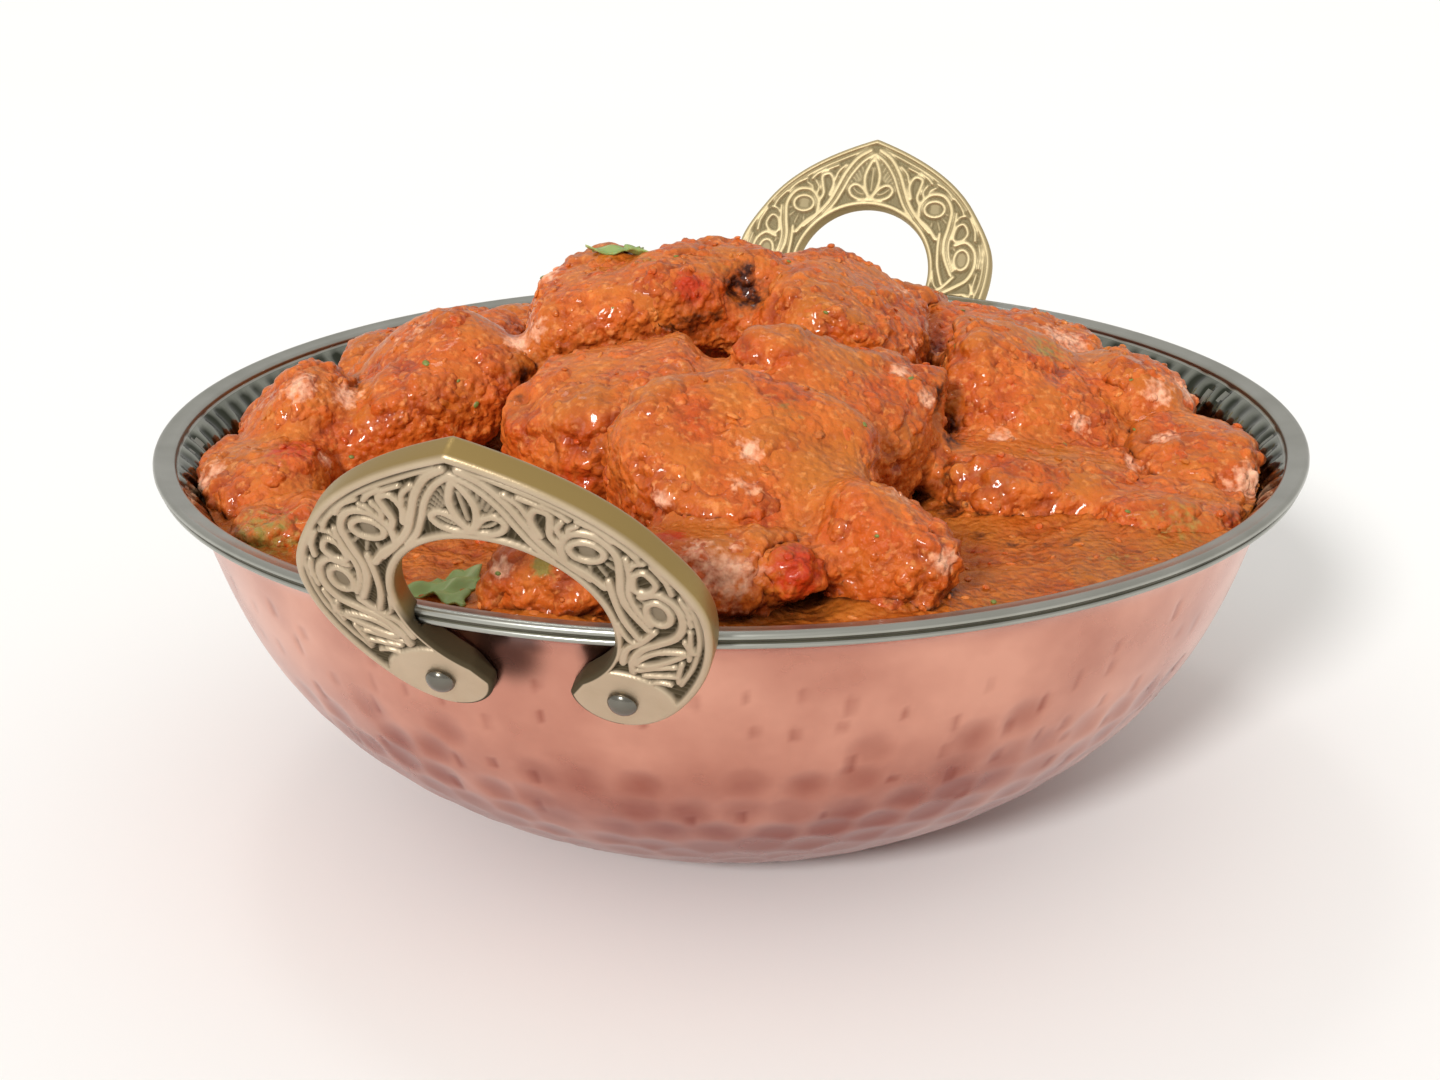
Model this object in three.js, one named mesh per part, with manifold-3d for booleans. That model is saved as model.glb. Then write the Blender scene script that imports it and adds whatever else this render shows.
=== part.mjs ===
// A serving kadai of chicken curry: a copper bowl with a steel lining, two cast brass handles
// riveted under the rim, thick gravy, a heap of sauced chicken pieces and a few coriander leaves.
// Millimetres, +Z up. The origin is the middle of the bowl's flat base, on the table.
import * as THREE from "three";
import { mergeVertices } from "three/addons/utils/BufferGeometryUtils.js";
import Module from "manifold-3d";

const wasm = await Module();
wasm.setup();

// ---- Driving dimensions ----------------------------------------------------------------

// Bowl
const RIM_RADIUS = 82.5;
const RIM_HEIGHT = 54.8;
const BEAD_RADIUS = 0.75; // rolled edge of the steel
const BASE_RADIUS = 36;
const WALL_RADIUS = 78.3; // outside of the copper, where its wall would reach WALL_HEIGHT
const WALL_HEIGHT = 52.2;
const WALL_STRAIGHT = 0.33; // share of the widening that is a straight cone
const WALL_ROUNDING = 3.4; // how fast the rest of the wall turns upright
const WALL_TOP = 50.8; // where the wall turns outwards into the flared lip
const LIP_RADIUS = 80.6; // outside of the copper lip, tucked under the bead
const LIP_HEIGHT = 52.9;
const COPPER_SHEET = 0.6;
const STEEL_SHEET = 0.6;
const BOWL_SIDES = 48;
const WALL_RINGS = 5;

// Handles, in their own plane: x across, y up along the plate, z out of its outer face
const HANDLE_AZIMUTH = -107.1; // degrees from +X, of the front handle
const HANDLE_RADIUS = 78.0; // outer face at the rivets, from the bowl's axis
const HANDLE_HEIGHT = 44.4;
const HANDLE_LEAN = 29.5; // degrees that the plate leans outwards
const HANDLE_THICKNESS = 3.3;
const HANDLE_BEVEL = 0.6;
const HANDLE_APEX = 38.6;
const HANDLE_HALF_WIDTH = 23.4;
const HANDLE_WIDEST = 15.5;
const GRIP_RADIUS = 13.2; // round finger gap
const GRIP_CENTRE = 13.6;
const FOOT_INNER = 5.4; // half the space between the feet
const FOOT_BOTTOM = -4.3;
const RIVET_SPREAD = 11.2;
const RIVET_SHANK = 1.1;
const RIVET_HEAD = 2.1;
const RIVET_DOME = 1.1;
const RIVET_SIDES = 8;

// Food
const GRAVY_LEVEL = 47.6;
const GRAVY_SLOPE = 0.042; // the thick sauce stands higher towards the front, -Y
const GRAVY_WAVE = 0.5;
const GRAVY_RINGS = 4;
const GRAVY_SIDES = BOWL_SIDES / 2;
const SUNK_DEPTH = 2; // how far the pieces that stand in the gravy reach down into it
const LEAF_THICKNESS = 0.5;

const GAP = 0.3; // kept between pieces that touch

// ---- Materials -------------------------------------------------------------------------

const material = (color, roughness, metalness) =>
  new THREE.MeshStandardMaterial({ color, roughness, metalness });
const copper = material(0xc98475, 0.3, 1);
const steel = material(0x9a9a94, 0.25, 1);
const brass = material(0xb8a27c, 0.4, 1);
const gravySauce = material(0xb85a22, 0.3, 0);
const saucedChicken = material(0xc9622f, 0.35, 0);
const coriander = material(0x7f9a52, 0.6, 0);

// ---- Solids ----------------------------------------------------------------------------

/** Closed geometry with shared corners, as a solid that can be joined and cut. */
function solidOf(geometry) {
  const bare = geometry.clone();
  bare.deleteAttribute("normal");
  bare.deleteAttribute("uv");
  const merged = mergeVertices(bare, 1e-4);
  const index = merged.index.array;
  const triangles = [];
  for (let i = 0; i < index.length; i += 3) {
    const [a, b, c] = [index[i], index[i + 1], index[i + 2]];
    if (a !== b && b !== c && c !== a) triangles.push(a, b, c);
  }
  const vertProperties = new Float32Array(merged.attributes.position.array);
  const triVerts = new Uint32Array(triangles);
  return new wasm.Manifold(new wasm.Mesh({ numProp: 3, vertProperties, triVerts }));
}

/** The largest body of a solid, as a three.js geometry. */
function geometryOf(solid) {
  const bodies = solid.decompose().sort((a, b) => b.volume() - a.volume());
  const mesh = bodies[0].getMesh();
  const geometry = new THREE.BufferGeometry();
  geometry.setAttribute("position", new THREE.BufferAttribute(new Float32Array(mesh.vertProperties), 3));
  geometry.setIndex(new THREE.BufferAttribute(new Uint32Array(mesh.triVerts), 1));
  geometry.computeVertexNormals();
  return geometry;
}

const radians = THREE.MathUtils.degToRad;

/** A matrix from a position in mm and turns in degrees about X, Y and Z. */
function placing(at, turn) {
  const euler = new THREE.Euler(radians(turn[0]), radians(turn[1]), radians(turn[2]), "ZYX");
  const rotation = new THREE.Quaternion().setFromEuler(euler);
  return new THREE.Matrix4().compose(new THREE.Vector3(...at), rotation, new THREE.Vector3(1, 1, 1));
}

/** A named mesh in its own frame, from a geometry that is already in the bowl's frame. */
function placedMesh(name, geometry, look, matrix) {
  geometry.applyMatrix4(matrix.clone().invert());
  const mesh = new THREE.Mesh(geometry, look);
  mesh.name = name;
  mesh.applyMatrix4(matrix);
  return mesh;
}

/** Seeded random numbers from 0 to 1. */
function randomFrom(seed) {
  let state = seed * 2654435761 + 97;
  return () => {
    state = (state + 0x6d2b79f5) | 0;
    let mixed = Math.imul(state ^ (state >>> 15), 1 | state);
    mixed = (mixed + Math.imul(mixed ^ (mixed >>> 7), 61 | mixed)) ^ mixed;
    return ((mixed ^ (mixed >>> 14)) >>> 0) / 4294967296;
  };
}

// ---- Bowl ------------------------------------------------------------------------------

/** Outside radius of the copper wall at a height above the table. */
function wallRadius(height) {
  const part = height / WALL_HEIGHT;
  const cone = WALL_STRAIGHT * part;
  const round = (1 - WALL_STRAIGHT) * (1 - (1 - part) ** WALL_ROUNDING);
  return BASE_RADIUS + (WALL_RADIUS - BASE_RADIUS) * (cone + round);
}

/** The copper's outside section, from the middle of the base up the wall and out along the lip. */
function wallSection() {
  const points = [new THREE.Vector2(0, 0)];
  for (let ring = 0; ring <= WALL_RINGS; ring += 1) {
    const height = WALL_TOP * (ring / WALL_RINGS) ** 1.25;
    points.push(new THREE.Vector2(wallRadius(height), height));
  }
  points.push(new THREE.Vector2(LIP_RADIUS, LIP_HEIGHT));
  return points;
}

/** A section line moved inwards by a distance, mitred at its corners. */
function insetSection(points, distance) {
  const normalAfter = (i) => {
    const along = points[i + 1].clone().sub(points[i]).normalize();
    return new THREE.Vector2(-along.y, along.x);
  };
  return points.map((point, i) => {
    const before = i === 0 ? new THREE.Vector2(0, 1) : normalAfter(i - 1);
    const after = i === points.length - 1 ? before : normalAfter(i);
    const miter = before.clone().add(after).normalize();
    return point.clone().addScaledVector(miter, distance / miter.dot(before));
  });
}

/** A closed section turned about the bowl's axis. */
function turned(section, sides = BOWL_SIDES) {
  const geometry = new THREE.LatheGeometry(section, sides);
  geometry.rotateX(Math.PI / 2);
  return geometry;
}

const STEEL_OUTSIDE = COPPER_SHEET + GAP;
const STEEL_INSIDE = STEEL_OUTSIDE + STEEL_SHEET;

function copperShellGeometry() {
  const outside = wallSection();
  const inside = insetSection(outside, COPPER_SHEET);
  return turned([...outside, ...inside.reverse()]);
}

/** The rolled bead's outline from its inner underside, round the outside, to its inner shoulder. */
function beadArc(growth = 0) {
  const centre = new THREE.Vector2(RIM_RADIUS - BEAD_RADIUS, RIM_HEIGHT - BEAD_RADIUS);
  const [start, end, steps] = [radians(-160), radians(150), 5];
  const points = [];
  for (let i = 0; i <= steps; i += 1) {
    const angle = start + ((end - start) * i) / steps;
    const spoke = new THREE.Vector2(Math.cos(angle), Math.sin(angle));
    points.push(spoke.multiplyScalar(BEAD_RADIUS + growth).add(centre));
  }
  return points;
}

function steelLinerGeometry() {
  const outside = insetSection(wallSection(), STEEL_OUTSIDE);
  const inside = insetSection(wallSection(), STEEL_INSIDE);
  return turned([...outside, ...beadArc(), ...inside.reverse()]);
}

/** Room inside the lining, with a gap to it, and everything above the rim. */
function cavitySolid(sides) {
  const inside = insetSection(wallSection(), STEEL_INSIDE + GAP);
  const overRim = RIM_HEIGHT + GAP;
  const sky = 2 * RIM_HEIGHT;
  const section = [
    ...inside,
    new THREE.Vector2(inside.at(-1).x + BEAD_RADIUS, overRim),
    new THREE.Vector2(RIM_RADIUS, overRim),
    new THREE.Vector2(RIM_RADIUS, sky),
    new THREE.Vector2(0, sky),
  ];
  return solidOf(turned(section, sides));
}

/** What the handles keep clear of: the bowl's outside, swollen by the gap. */
function bowlClearanceSolid() {
  const outside = insetSection(wallSection(), -GAP);
  const top = new THREE.Vector2(0, RIM_HEIGHT + GAP);
  return solidOf(turned([...outside, ...beadArc(GAP).slice(1), top]));
}

// ---- Handles and rivets ----------------------------------------------------------------

/** Right half of the plate's outline, from the pointed apex down round the foot to the finger gap. */
function handleHalfOutline() {
  const path = new THREE.Path();
  path.moveTo(0, HANDLE_APEX);
  path.bezierCurveTo(8.5, HANDLE_APEX - 3, 15.5, HANDLE_APEX - 7, 19.3, 25.6);
  path.bezierCurveTo(22, 21.6, HANDLE_HALF_WIDTH, 19, HANDLE_HALF_WIDTH, HANDLE_WIDEST);
  path.bezierCurveTo(HANDLE_HALF_WIDTH, 9.5, 20.8, 4, 17.2, -0.4);
  path.bezierCurveTo(15, -3, 12.5, FOOT_BOTTOM, 10.4, FOOT_BOTTOM);
  path.bezierCurveTo(7.8, FOOT_BOTTOM, 5.6, -2.4, FOOT_INNER, 0.2);
  const start = -Math.acos((FOOT_INNER + 1.6) / GRIP_RADIUS);
  path.absarc(0, GRIP_CENTRE, GRIP_RADIUS, start, Math.PI / 2, false);
  return path.getPoints(4);
}

/** The cast plate in its own frame, its outer face at z = 0. */
function handlePlateGeometry() {
  const right = handleHalfOutline();
  const left = right.slice(1, -1).reverse();
  const outline = [...right, ...left.map((point) => new THREE.Vector2(-point.x, point.y))];
  const geometry = new THREE.ExtrudeGeometry(new THREE.Shape(outline), {
    depth: HANDLE_THICKNESS - 2 * HANDLE_BEVEL,
    bevelThickness: HANDLE_BEVEL,
    bevelSize: HANDLE_BEVEL,
    bevelSegments: 1,
  });
  geometry.translate(0, 0, HANDLE_BEVEL - HANDLE_THICKNESS);
  return geometry;
}

/** From the plate's frame to the bowl's, for a handle on the +X side. */
function handlePlacing() {
  const lean = radians(HANDLE_LEAN);
  const across = new THREE.Vector3(0, 1, 0);
  const up = new THREE.Vector3(Math.sin(lean), 0, Math.cos(lean));
  const out = new THREE.Vector3(Math.cos(lean), 0, -Math.sin(lean));
  const matrix = new THREE.Matrix4().makeBasis(across, up, out);
  return matrix.setPosition(HANDLE_RADIUS, 0, HANDLE_HEIGHT);
}

/** A rivet along z: peened head inside the bowl, shank through the walls, dome on the plate. */
function rivetGeometry(growth = 0) {
  const reach = HANDLE_THICKNESS + COPPER_SHEET + STEEL_SHEET + 1.6; // to the peened head
  const peen = 0.7; // its thickness
  const head = RIVET_HEAD + growth;
  const shank = RIVET_SHANK + growth;
  const seat = growth > 0 ? -growth : GAP;
  const dome = seat + RIVET_DOME + 2 * growth;
  const section = [
    [0, -reach - peen - growth],
    [head * 0.85, -reach - peen - growth],
    [head * 0.85, -reach + growth],
    [shank, -reach + growth],
    [shank, seat],
    [head, seat],
    [head * 0.88, seat + (dome - seat) * 0.45],
    [head * 0.55, seat + (dome - seat) * 0.85],
    [0, dome],
  ];
  return turned(section.map(([r, z]) => new THREE.Vector2(r, z)), RIVET_SIDES);
}

const rivetPlaces = [-RIVET_SPREAD, RIVET_SPREAD].map((x) => new THREE.Matrix4().makeTranslation(x, 0, 0));
const handleTurns = [radians(HANDLE_AZIMUTH), radians(HANDLE_AZIMUTH) + Math.PI];

/** All four rivets, swollen by the gap, in the bowl's frame. */
function rivetClearances() {
  const solids = [];
  for (const turn of handleTurns) {
    for (const place of rivetPlaces) {
      const matrix = new THREE.Matrix4().makeRotationZ(turn).multiply(handlePlacing()).multiply(place);
      solids.push(solidOf(rivetGeometry(GAP).applyMatrix4(matrix)));
    }
  }
  return solids.reduce((all, next) => all.add(next));
}

function handleGeometry() {
  const intoPlate = handlePlacing().invert();
  const bowl = new THREE.BufferGeometry().copy(geometryOf(bowlClearanceSolid()));
  bowl.applyMatrix4(new THREE.Matrix4().makeRotationZ(-handleTurns[0]));
  bowl.applyMatrix4(intoPlate);
  let plate = solidOf(handlePlateGeometry()).subtract(solidOf(bowl));
  for (const place of rivetPlaces) {
    plate = plate.subtract(solidOf(rivetGeometry(GAP).applyMatrix4(place)));
  }
  return geometryOf(plate);
}

// ---- Chicken ---------------------------------------------------------------------------

// Each piece: where its middle is, its length, depth and height, its turns in degrees about
// X, Y and Z, and how finely it is faceted. Later pieces are cut to lie against earlier ones.
// A sunk piece stands in the gravy, and the others lie on it.
const FRONT_PIECES = {
  chicken_front_morsel: { at: [7.9, -66, 55.4], size: [7.4, 7, 7], turn: [0, 0, 0], detail: 1, seed: 3 },
  chicken_front_right: { at: [17.5, -57, 53], size: [17, 20, 17], turn: [0, 24, 0], detail: 2, seed: 33, sunk: true },
  chicken_front_left: { at: [-4, -62.5, 52.8], size: [23, 17, 13], turn: [0, 5, 0], detail: 2, seed: 5, sunk: true },
  chicken_front_middle: { at: [1, -43, 58.5], size: [36, 30, 20], turn: [30, 10, 0], detail: 3, seed: 6 },
  chicken_gap_piece: { at: [-20.5, -62, 53], size: [16, 15, 12], turn: [0, 0, -20], detail: 2, seed: 7, sunk: true },
  chicken_middle_left: { at: [-16.5, -21, 59.5], size: [32, 28, 18], turn: [20, -14, 0], detail: 2, seed: 8 },
  chicken_middle_right: { at: [12.8, -22, 57], size: [31, 28, 24], turn: [18, 26, 0], detail: 2, seed: 9 },
  chicken_top_front: { at: [-4, 8, 70.4], size: [22, 20, 13], turn: [8, 5, 0], detail: 2, seed: 10 },
  chicken_top_left: { at: [-18, 8, 66.6], size: [24, 26, 17], turn: [8, -14, 0], detail: 2, seed: 11 },
  chicken_top_right: { at: [13.8, 7, 61.6], size: [30, 30, 24], turn: [8, 29, 0], detail: 2, seed: 12 },
  chicken_left: { at: [-46, -1, 55.8], size: [38, 30, 17], turn: [10, -36, 0], detail: 3, seed: 13 },
  chicken_right: { at: [45, -3, 53.6], size: [35, 30, 17], turn: [12, 26, 0], detail: 2, seed: 14 },
  chicken_right_under: { at: [41, -20, 48.3], size: [31, 27, 14], turn: [0, 6, 0], detail: 2, seed: 15, sunk: true },
  chicken_left_slope: { at: [-61, -7, 53.6], size: [20, 24, 16], turn: [0, -40, 0], detail: 2, seed: 16 },
  chicken_left_end: { at: [-64.5, -21, 50.3], size: [19, 21, 11], turn: [0, -10, 0], detail: 2, seed: 17, sunk: true },
  chicken_left_low: { at: [-57, -35, 48.6], size: [20, 15, 8], turn: [0, -5, 0], detail: 1, seed: 18, sunk: true },
  chicken_right_slope: { at: [60, 7, 53.2], size: [23, 24, 15], turn: [0, 28, 0], detail: 2, seed: 19 },
  chicken_right_end: { at: [65.5, -13, 50], size: [18, 22, 12], turn: [0, 10, 0], detail: 2, seed: 20, sunk: true },
  chicken_right_low: { at: [58.5, -31, 47.2], size: [25, 18, 10], turn: [0, 5, 0], detail: 2, seed: 21, sunk: true },
  chicken_back_left: { at: [-45, 24, 54.8], size: [32, 28, 16], turn: [0, -8, 0], detail: 2, seed: 22 },
  chicken_back_right: { at: [44, 26, 53.8], size: [34, 28, 16], turn: [0, 6, 0], detail: 2, seed: 23 },
};
const REAR_PIECES = {
  chicken_rear_left: { at: [-17, 35, 56], size: [32, 30, 19], turn: [-18, 0, 15], detail: 2, seed: 24 },
  chicken_rear_right: { at: [17, 37, 55], size: [33, 28, 19], turn: [-18, 0, -12], detail: 2, seed: 25 },
  chicken_rear_edge_left: { at: [-33, 57, 49.5], size: [30, 22, 14], turn: [-10, 0, 28], detail: 1, seed: 26 },
  chicken_rear_edge_middle: { at: [1, 64, 49.5], size: [32, 20, 14], turn: [-10, 0, 0], detail: 1, seed: 27 },
  chicken_rear_edge_right: { at: [35, 56, 49], size: [30, 22, 14], turn: [-10, 0, -30], detail: 1, seed: 28 },
};
const PIECES = { ...FRONT_PIECES, ...REAR_PIECES };

const CUT_FACES = 9; // flattish knife-cut sides of a piece
const EDGE_SHARPNESS = 9; // how tightly those sides meet
const LUMPS = 12;
const LUMP_HEIGHT = 0.085; // of the piece's own radius
const LUMP_FOCUS = 10;

/** A random direction, evenly spread over the sphere. */
function randomDirection(random) {
  const height = 2 * random() - 1;
  const azimuth = 2 * Math.PI * random();
  const flat = Math.sqrt(1 - height * height);
  return new THREE.Vector3(flat * Math.cos(azimuth), flat * Math.sin(azimuth), height);
}

/** A cut piece of meat about the origin: flattish sides, soft edges and lumps, evenly swollen. */
function chickenGeometry({ size, detail, seed }, growth = 0) {
  const random = randomFrom(seed);
  const half = new THREE.Vector3(...size).divideScalar(2);
  const sides = [];
  for (const axis of [[1, 0, 0], [0, 1, 0], [0, 0, 1]]) {
    const normal = new THREE.Vector3(...axis);
    const reach = normal.dot(half);
    sides.push({ normal, reach }, { normal: normal.clone().negate(), reach });
  }
  for (let i = 0; i < CUT_FACES; i += 1) {
    const normal = randomDirection(random);
    const reach = normal.clone().multiply(half).length() * (0.9 + 0.2 * random());
    sides.push({ normal, reach });
  }
  const lumps = [];
  for (let i = 0; i < LUMPS; i += 1) {
    lumps.push({ direction: randomDirection(random), rise: LUMP_HEIGHT * (1.8 * random() - 0.6) });
  }
  const sphere = new THREE.IcosahedronGeometry(1, detail);
  sphere.deleteAttribute("normal");
  sphere.deleteAttribute("uv");
  const geometry = mergeVertices(sphere, 1e-4);
  const position = geometry.attributes.position;
  const vertex = new THREE.Vector3();
  for (let i = 0; i < position.count; i += 1) {
    vertex.fromBufferAttribute(position, i).normalize();
    let crowding = 0;
    for (const { normal, reach } of sides) {
      crowding += Math.max(0, vertex.dot(normal) / reach) ** EDGE_SHARPNESS;
    }
    let swell = 1;
    for (const { direction, rise } of lumps) {
      swell += rise * Math.exp(LUMP_FOCUS * (vertex.dot(direction) - 1));
    }
    vertex.multiplyScalar(swell * crowding ** (-1 / EDGE_SHARPNESS) + growth);
    position.setXYZ(i, vertex.x, vertex.y, vertex.z);
  }
  return geometry;
}

// ---- Gravy and leaves ------------------------------------------------------------------

/** Height of the thick sauce over a place in the bowl. */
function gravyHeight(x, y) {
  return GRAVY_LEVEL - GRAVY_SLOPE * y + GRAVY_WAVE * Math.sin(x / 7 + 1) * Math.sin(y / 9);
}

/** Everything above a height over the gravy's level plane, as a tilted block. */
function aboveGravyPlane(height) {
  const side = 4 * RIM_RADIUS;
  const block = new THREE.BoxGeometry(side, side, side);
  block.translate(0, 0, side / 2);
  block.rotateX(-Math.atan(GRAVY_SLOPE));
  block.translate(0, 0, GRAVY_LEVEL + height);
  return solidOf(block);
}

/** The sauce as a solid: the bowl's inside in broader facets, closed by an uneven top. */
function gravySolid(inside) {
  const underTop = GRAVY_LEVEL / 2;
  const section = [[0, -GAP], [RIM_RADIUS, -GAP], [RIM_RADIUS, underTop]];
  for (let ring = GRAVY_RINGS; ring >= 0; ring -= 1) {
    section.push([(RIM_RADIUS * ring) / GRAVY_RINGS, RIM_HEIGHT]);
  }
  const geometry = turned(section.map(([r, z]) => new THREE.Vector2(r, z)), GRAVY_SIDES);
  const position = geometry.attributes.position;
  for (let i = 0; i < position.count; i += 1) {
    if (position.getZ(i) > underTop + 1) position.setZ(i, gravyHeight(position.getX(i), position.getY(i)));
  }
  return solidOf(geometry).intersect(inside);
}

// Each leaf: middle, length, width, azimuth of its tip in degrees, lobes along each side.
const LEAVES = {
  coriander_front: { at: [-34.2, -57.5], length: 12, width: 9.5, azimuth: 60, lobes: 3 },
  coriander_sprig: { at: [-22.6, -58], length: 5, width: 3.4, azimuth: 60, lobes: 1 },
  coriander_top: { at: [-16, 11], length: 10, width: 7, azimuth: 190, lobes: 2 },
};
const LEAF_STEPS = 9;
const LEAF_CLEARANCE = 0.7;

/** Half the leaf's width at a share of its length, with lobes. */
function leafHalfWidth({ width, lobes }, along) {
  const oval = Math.sin(Math.PI * Math.min(1, along ** 0.8 * 0.97 + 0.02));
  return (width / 2) * oval * (0.8 + 0.2 * Math.cos(2 * Math.PI * lobes * along));
}

/** A thin leaf laid over whatever food is under it. */
function leafGeometry(leaf, heightOver) {
  const geometry = new THREE.BoxGeometry(1, 1, 1, LEAF_STEPS, 2, 1);
  const position = geometry.attributes.position;
  const heading = radians(leaf.azimuth);
  for (let i = 0; i < position.count; i += 1) {
    const along = position.getX(i) + 0.5;
    const side = 2 * position.getY(i) * leafHalfWidth(leaf, along);
    const forward = (along - 0.5) * leaf.length;
    const x = leaf.at[0] + forward * Math.cos(heading) - side * Math.sin(heading);
    const y = leaf.at[1] + forward * Math.sin(heading) + side * Math.cos(heading);
    const face = position.getZ(i) > 0 ? LEAF_THICKNESS : 0;
    position.setXYZ(i, x, y, heightOver(x, y) + LEAF_CLEARANCE + face);
  }
  return geometry;
}

// ---- Assembly --------------------------------------------------------------------------

const curry = new THREE.Group();

const bowl = new THREE.Group();
curry.add(bowl);
const rivetRoom = rivetClearances();
const identity = new THREE.Matrix4();
const shell = solidOf(copperShellGeometry()).subtract(rivetRoom);
const liner = solidOf(steelLinerGeometry()).subtract(rivetRoom);
bowl.add(placedMesh("copper_shell", geometryOf(shell), copper, identity));
bowl.add(placedMesh("steel_liner", geometryOf(liner), steel, identity));

const plateGeometry = handleGeometry();
["front", "back"].forEach((side, i) => {
  const turntable = new THREE.Group();
  turntable.rotation.z = handleTurns[i];
  const holder = new THREE.Group();
  holder.applyMatrix4(handlePlacing());
  const plate = new THREE.Mesh(plateGeometry, brass);
  plate.name = `handle_${side}`;
  holder.add(plate);
  rivetPlaces.forEach((place, j) => {
    const rivet = new THREE.Mesh(geometryOf(solidOf(rivetGeometry())), steel);
    rivet.name = `rivet_${side}_${j === 0 ? "left" : "right"}`;
    rivet.applyMatrix4(place);
    holder.add(rivet);
  });
  turntable.add(holder);
  curry.add(turntable);
});

const food = new THREE.Group();
curry.add(food);
const cavity = cavitySolid(BOWL_SIDES).subtract(rivetRoom);
const roomOverGravy = cavity.intersect(aboveGravyPlane(GRAVY_WAVE + GAP));
const roomInGravy = cavity.intersect(aboveGravyPlane(-SUNK_DEPTH));
const pocketRoom = aboveGravyPlane(-SUNK_DEPTH - GAP);
let gravy = gravySolid(cavitySolid(GRAVY_SIDES).subtract(rivetRoom));
let taken = null;
for (const [name, piece] of Object.entries(PIECES)) {
  const matrix = placing(piece.at, piece.turn);
  let room = piece.sunk ? roomInGravy : roomOverGravy;
  if (taken) room = room.subtract(taken);
  const whole = solidOf(chickenGeometry(piece).applyMatrix4(matrix));
  food.add(placedMesh(name, geometryOf(whole.intersect(room)), saucedChicken, matrix));
  const swollen = solidOf(chickenGeometry(piece, GAP + 0.1).applyMatrix4(matrix));
  taken = taken ? taken.add(swollen) : swollen;
  if (piece.sunk) gravy = gravy.subtract(swollen.intersect(pocketRoom));
}
food.add(placedMesh("gravy", geometryOf(gravy), gravySauce, identity));

food.updateMatrixWorld(true);
const foodPieces = [...food.children];
const caster = new THREE.Raycaster();
const down = new THREE.Vector3(0, 0, -1);

/** Height of the topmost food under a place. */
function foodHeight(x, y) {
  caster.set(new THREE.Vector3(x, y, 3 * RIM_HEIGHT), down);
  const hits = caster.intersectObjects(foodPieces, false);
  return hits.length ? hits[0].point.z : GRAVY_LEVEL;
}

for (const [name, leaf] of Object.entries(LEAVES)) {
  const geometry = geometryOf(solidOf(leafGeometry(leaf, foodHeight)).subtract(taken));
  food.add(placedMesh(name, geometry, coriander, new THREE.Matrix4().makeTranslation(leaf.at[0], leaf.at[1], 0)));
}

export default curry;
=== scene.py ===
"""A chicken curry in its hammered serving kadai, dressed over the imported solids.

Lengths are in millimetres until a mesh is made, where they turn into metres.
"""

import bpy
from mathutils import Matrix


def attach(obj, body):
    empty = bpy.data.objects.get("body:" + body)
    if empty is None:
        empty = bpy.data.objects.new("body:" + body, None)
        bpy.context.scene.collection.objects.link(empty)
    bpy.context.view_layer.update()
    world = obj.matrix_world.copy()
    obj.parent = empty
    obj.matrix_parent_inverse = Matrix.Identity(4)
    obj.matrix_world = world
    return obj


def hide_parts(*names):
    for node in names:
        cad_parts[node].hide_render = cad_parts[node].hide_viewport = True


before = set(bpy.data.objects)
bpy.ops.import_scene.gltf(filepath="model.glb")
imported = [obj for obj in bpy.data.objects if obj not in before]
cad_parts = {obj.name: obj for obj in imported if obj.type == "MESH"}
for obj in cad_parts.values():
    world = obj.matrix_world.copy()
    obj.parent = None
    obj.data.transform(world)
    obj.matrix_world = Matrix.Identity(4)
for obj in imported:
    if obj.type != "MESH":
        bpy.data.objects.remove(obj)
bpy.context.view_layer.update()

import logging
import math
from dataclasses import dataclass, field
from enum import Enum
from functools import partial
from typing import Any, Iterable, Sequence

import bmesh
import bpy
import numpy as np
from mathutils import Matrix, Vector
from mathutils.bvhtree import BVHTree

MM = 0.001
BODY = "root"
Spots = tuple[tuple[float, float, float, float, float], ...]  # x, y and z of the middle, reach, strength
log = logging.getLogger("kadai")


class Slot(Enum):
    """Material slots of the record."""

    COPPER = "copper"
    STEEL = "steel"
    BRASS = "handle_brass"
    RIVET = "rivet_steel"
    GRAVY = "gravy"
    CHICKEN = "chicken"
    CORIANDER = "coriander"


class Tone(Enum):
    """Ways in which a patch of sauce departs from its own colour, and the attribute that says so; the pale
    patches are partly painted highlight, the brown and shade ones painted shade.
    """

    CREAM_AND_HIGHLIGHT = "cream_and_highlight"
    TOMATO = "tomato"
    HERB = "herb"
    BROWN = "brown"
    SHADE = "shade"


class Mark(Enum):
    """Which parts of a marks mesh leave a dent: its lone points or its edges."""

    ROUND = "POINTS"
    DASH = "EDGES"


# ---- Nodes and meshes ---------------------------------------------------------------------


def linear(colour: str) -> tuple[float, float, float, float]:
    """Turn an sRGB hex colour into linear RGBA.

    Args:
        colour: Six hex digits after a #.

    Returns:
        Linear red, green and blue, and an alpha of 1.
    """
    channels = [int(colour[i : i + 2], 16) / 255 for i in (1, 3, 5)]
    lit = [c / 12.92 if c <= 0.04045 else ((c + 0.055) / 1.055) ** 2.4 for c in channels]
    return (lit[0], lit[1], lit[2], 1.0)


def feed(node: bpy.types.Node, sockets: dict[str | int, Any]) -> None:
    """Set a node's inputs, or link them.

    Args:
        node: The node.
        sockets: Input name or number to a value, an output socket, or a node whose first output is meant.
    """
    for name, value in sockets.items():
        if isinstance(value, bpy.types.Node):
            value = value.outputs[0]
        if isinstance(value, bpy.types.NodeSocket):
            node.id_data.links.new(value, node.inputs[name])
        else:
            node.inputs[name].default_value = value


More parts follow.
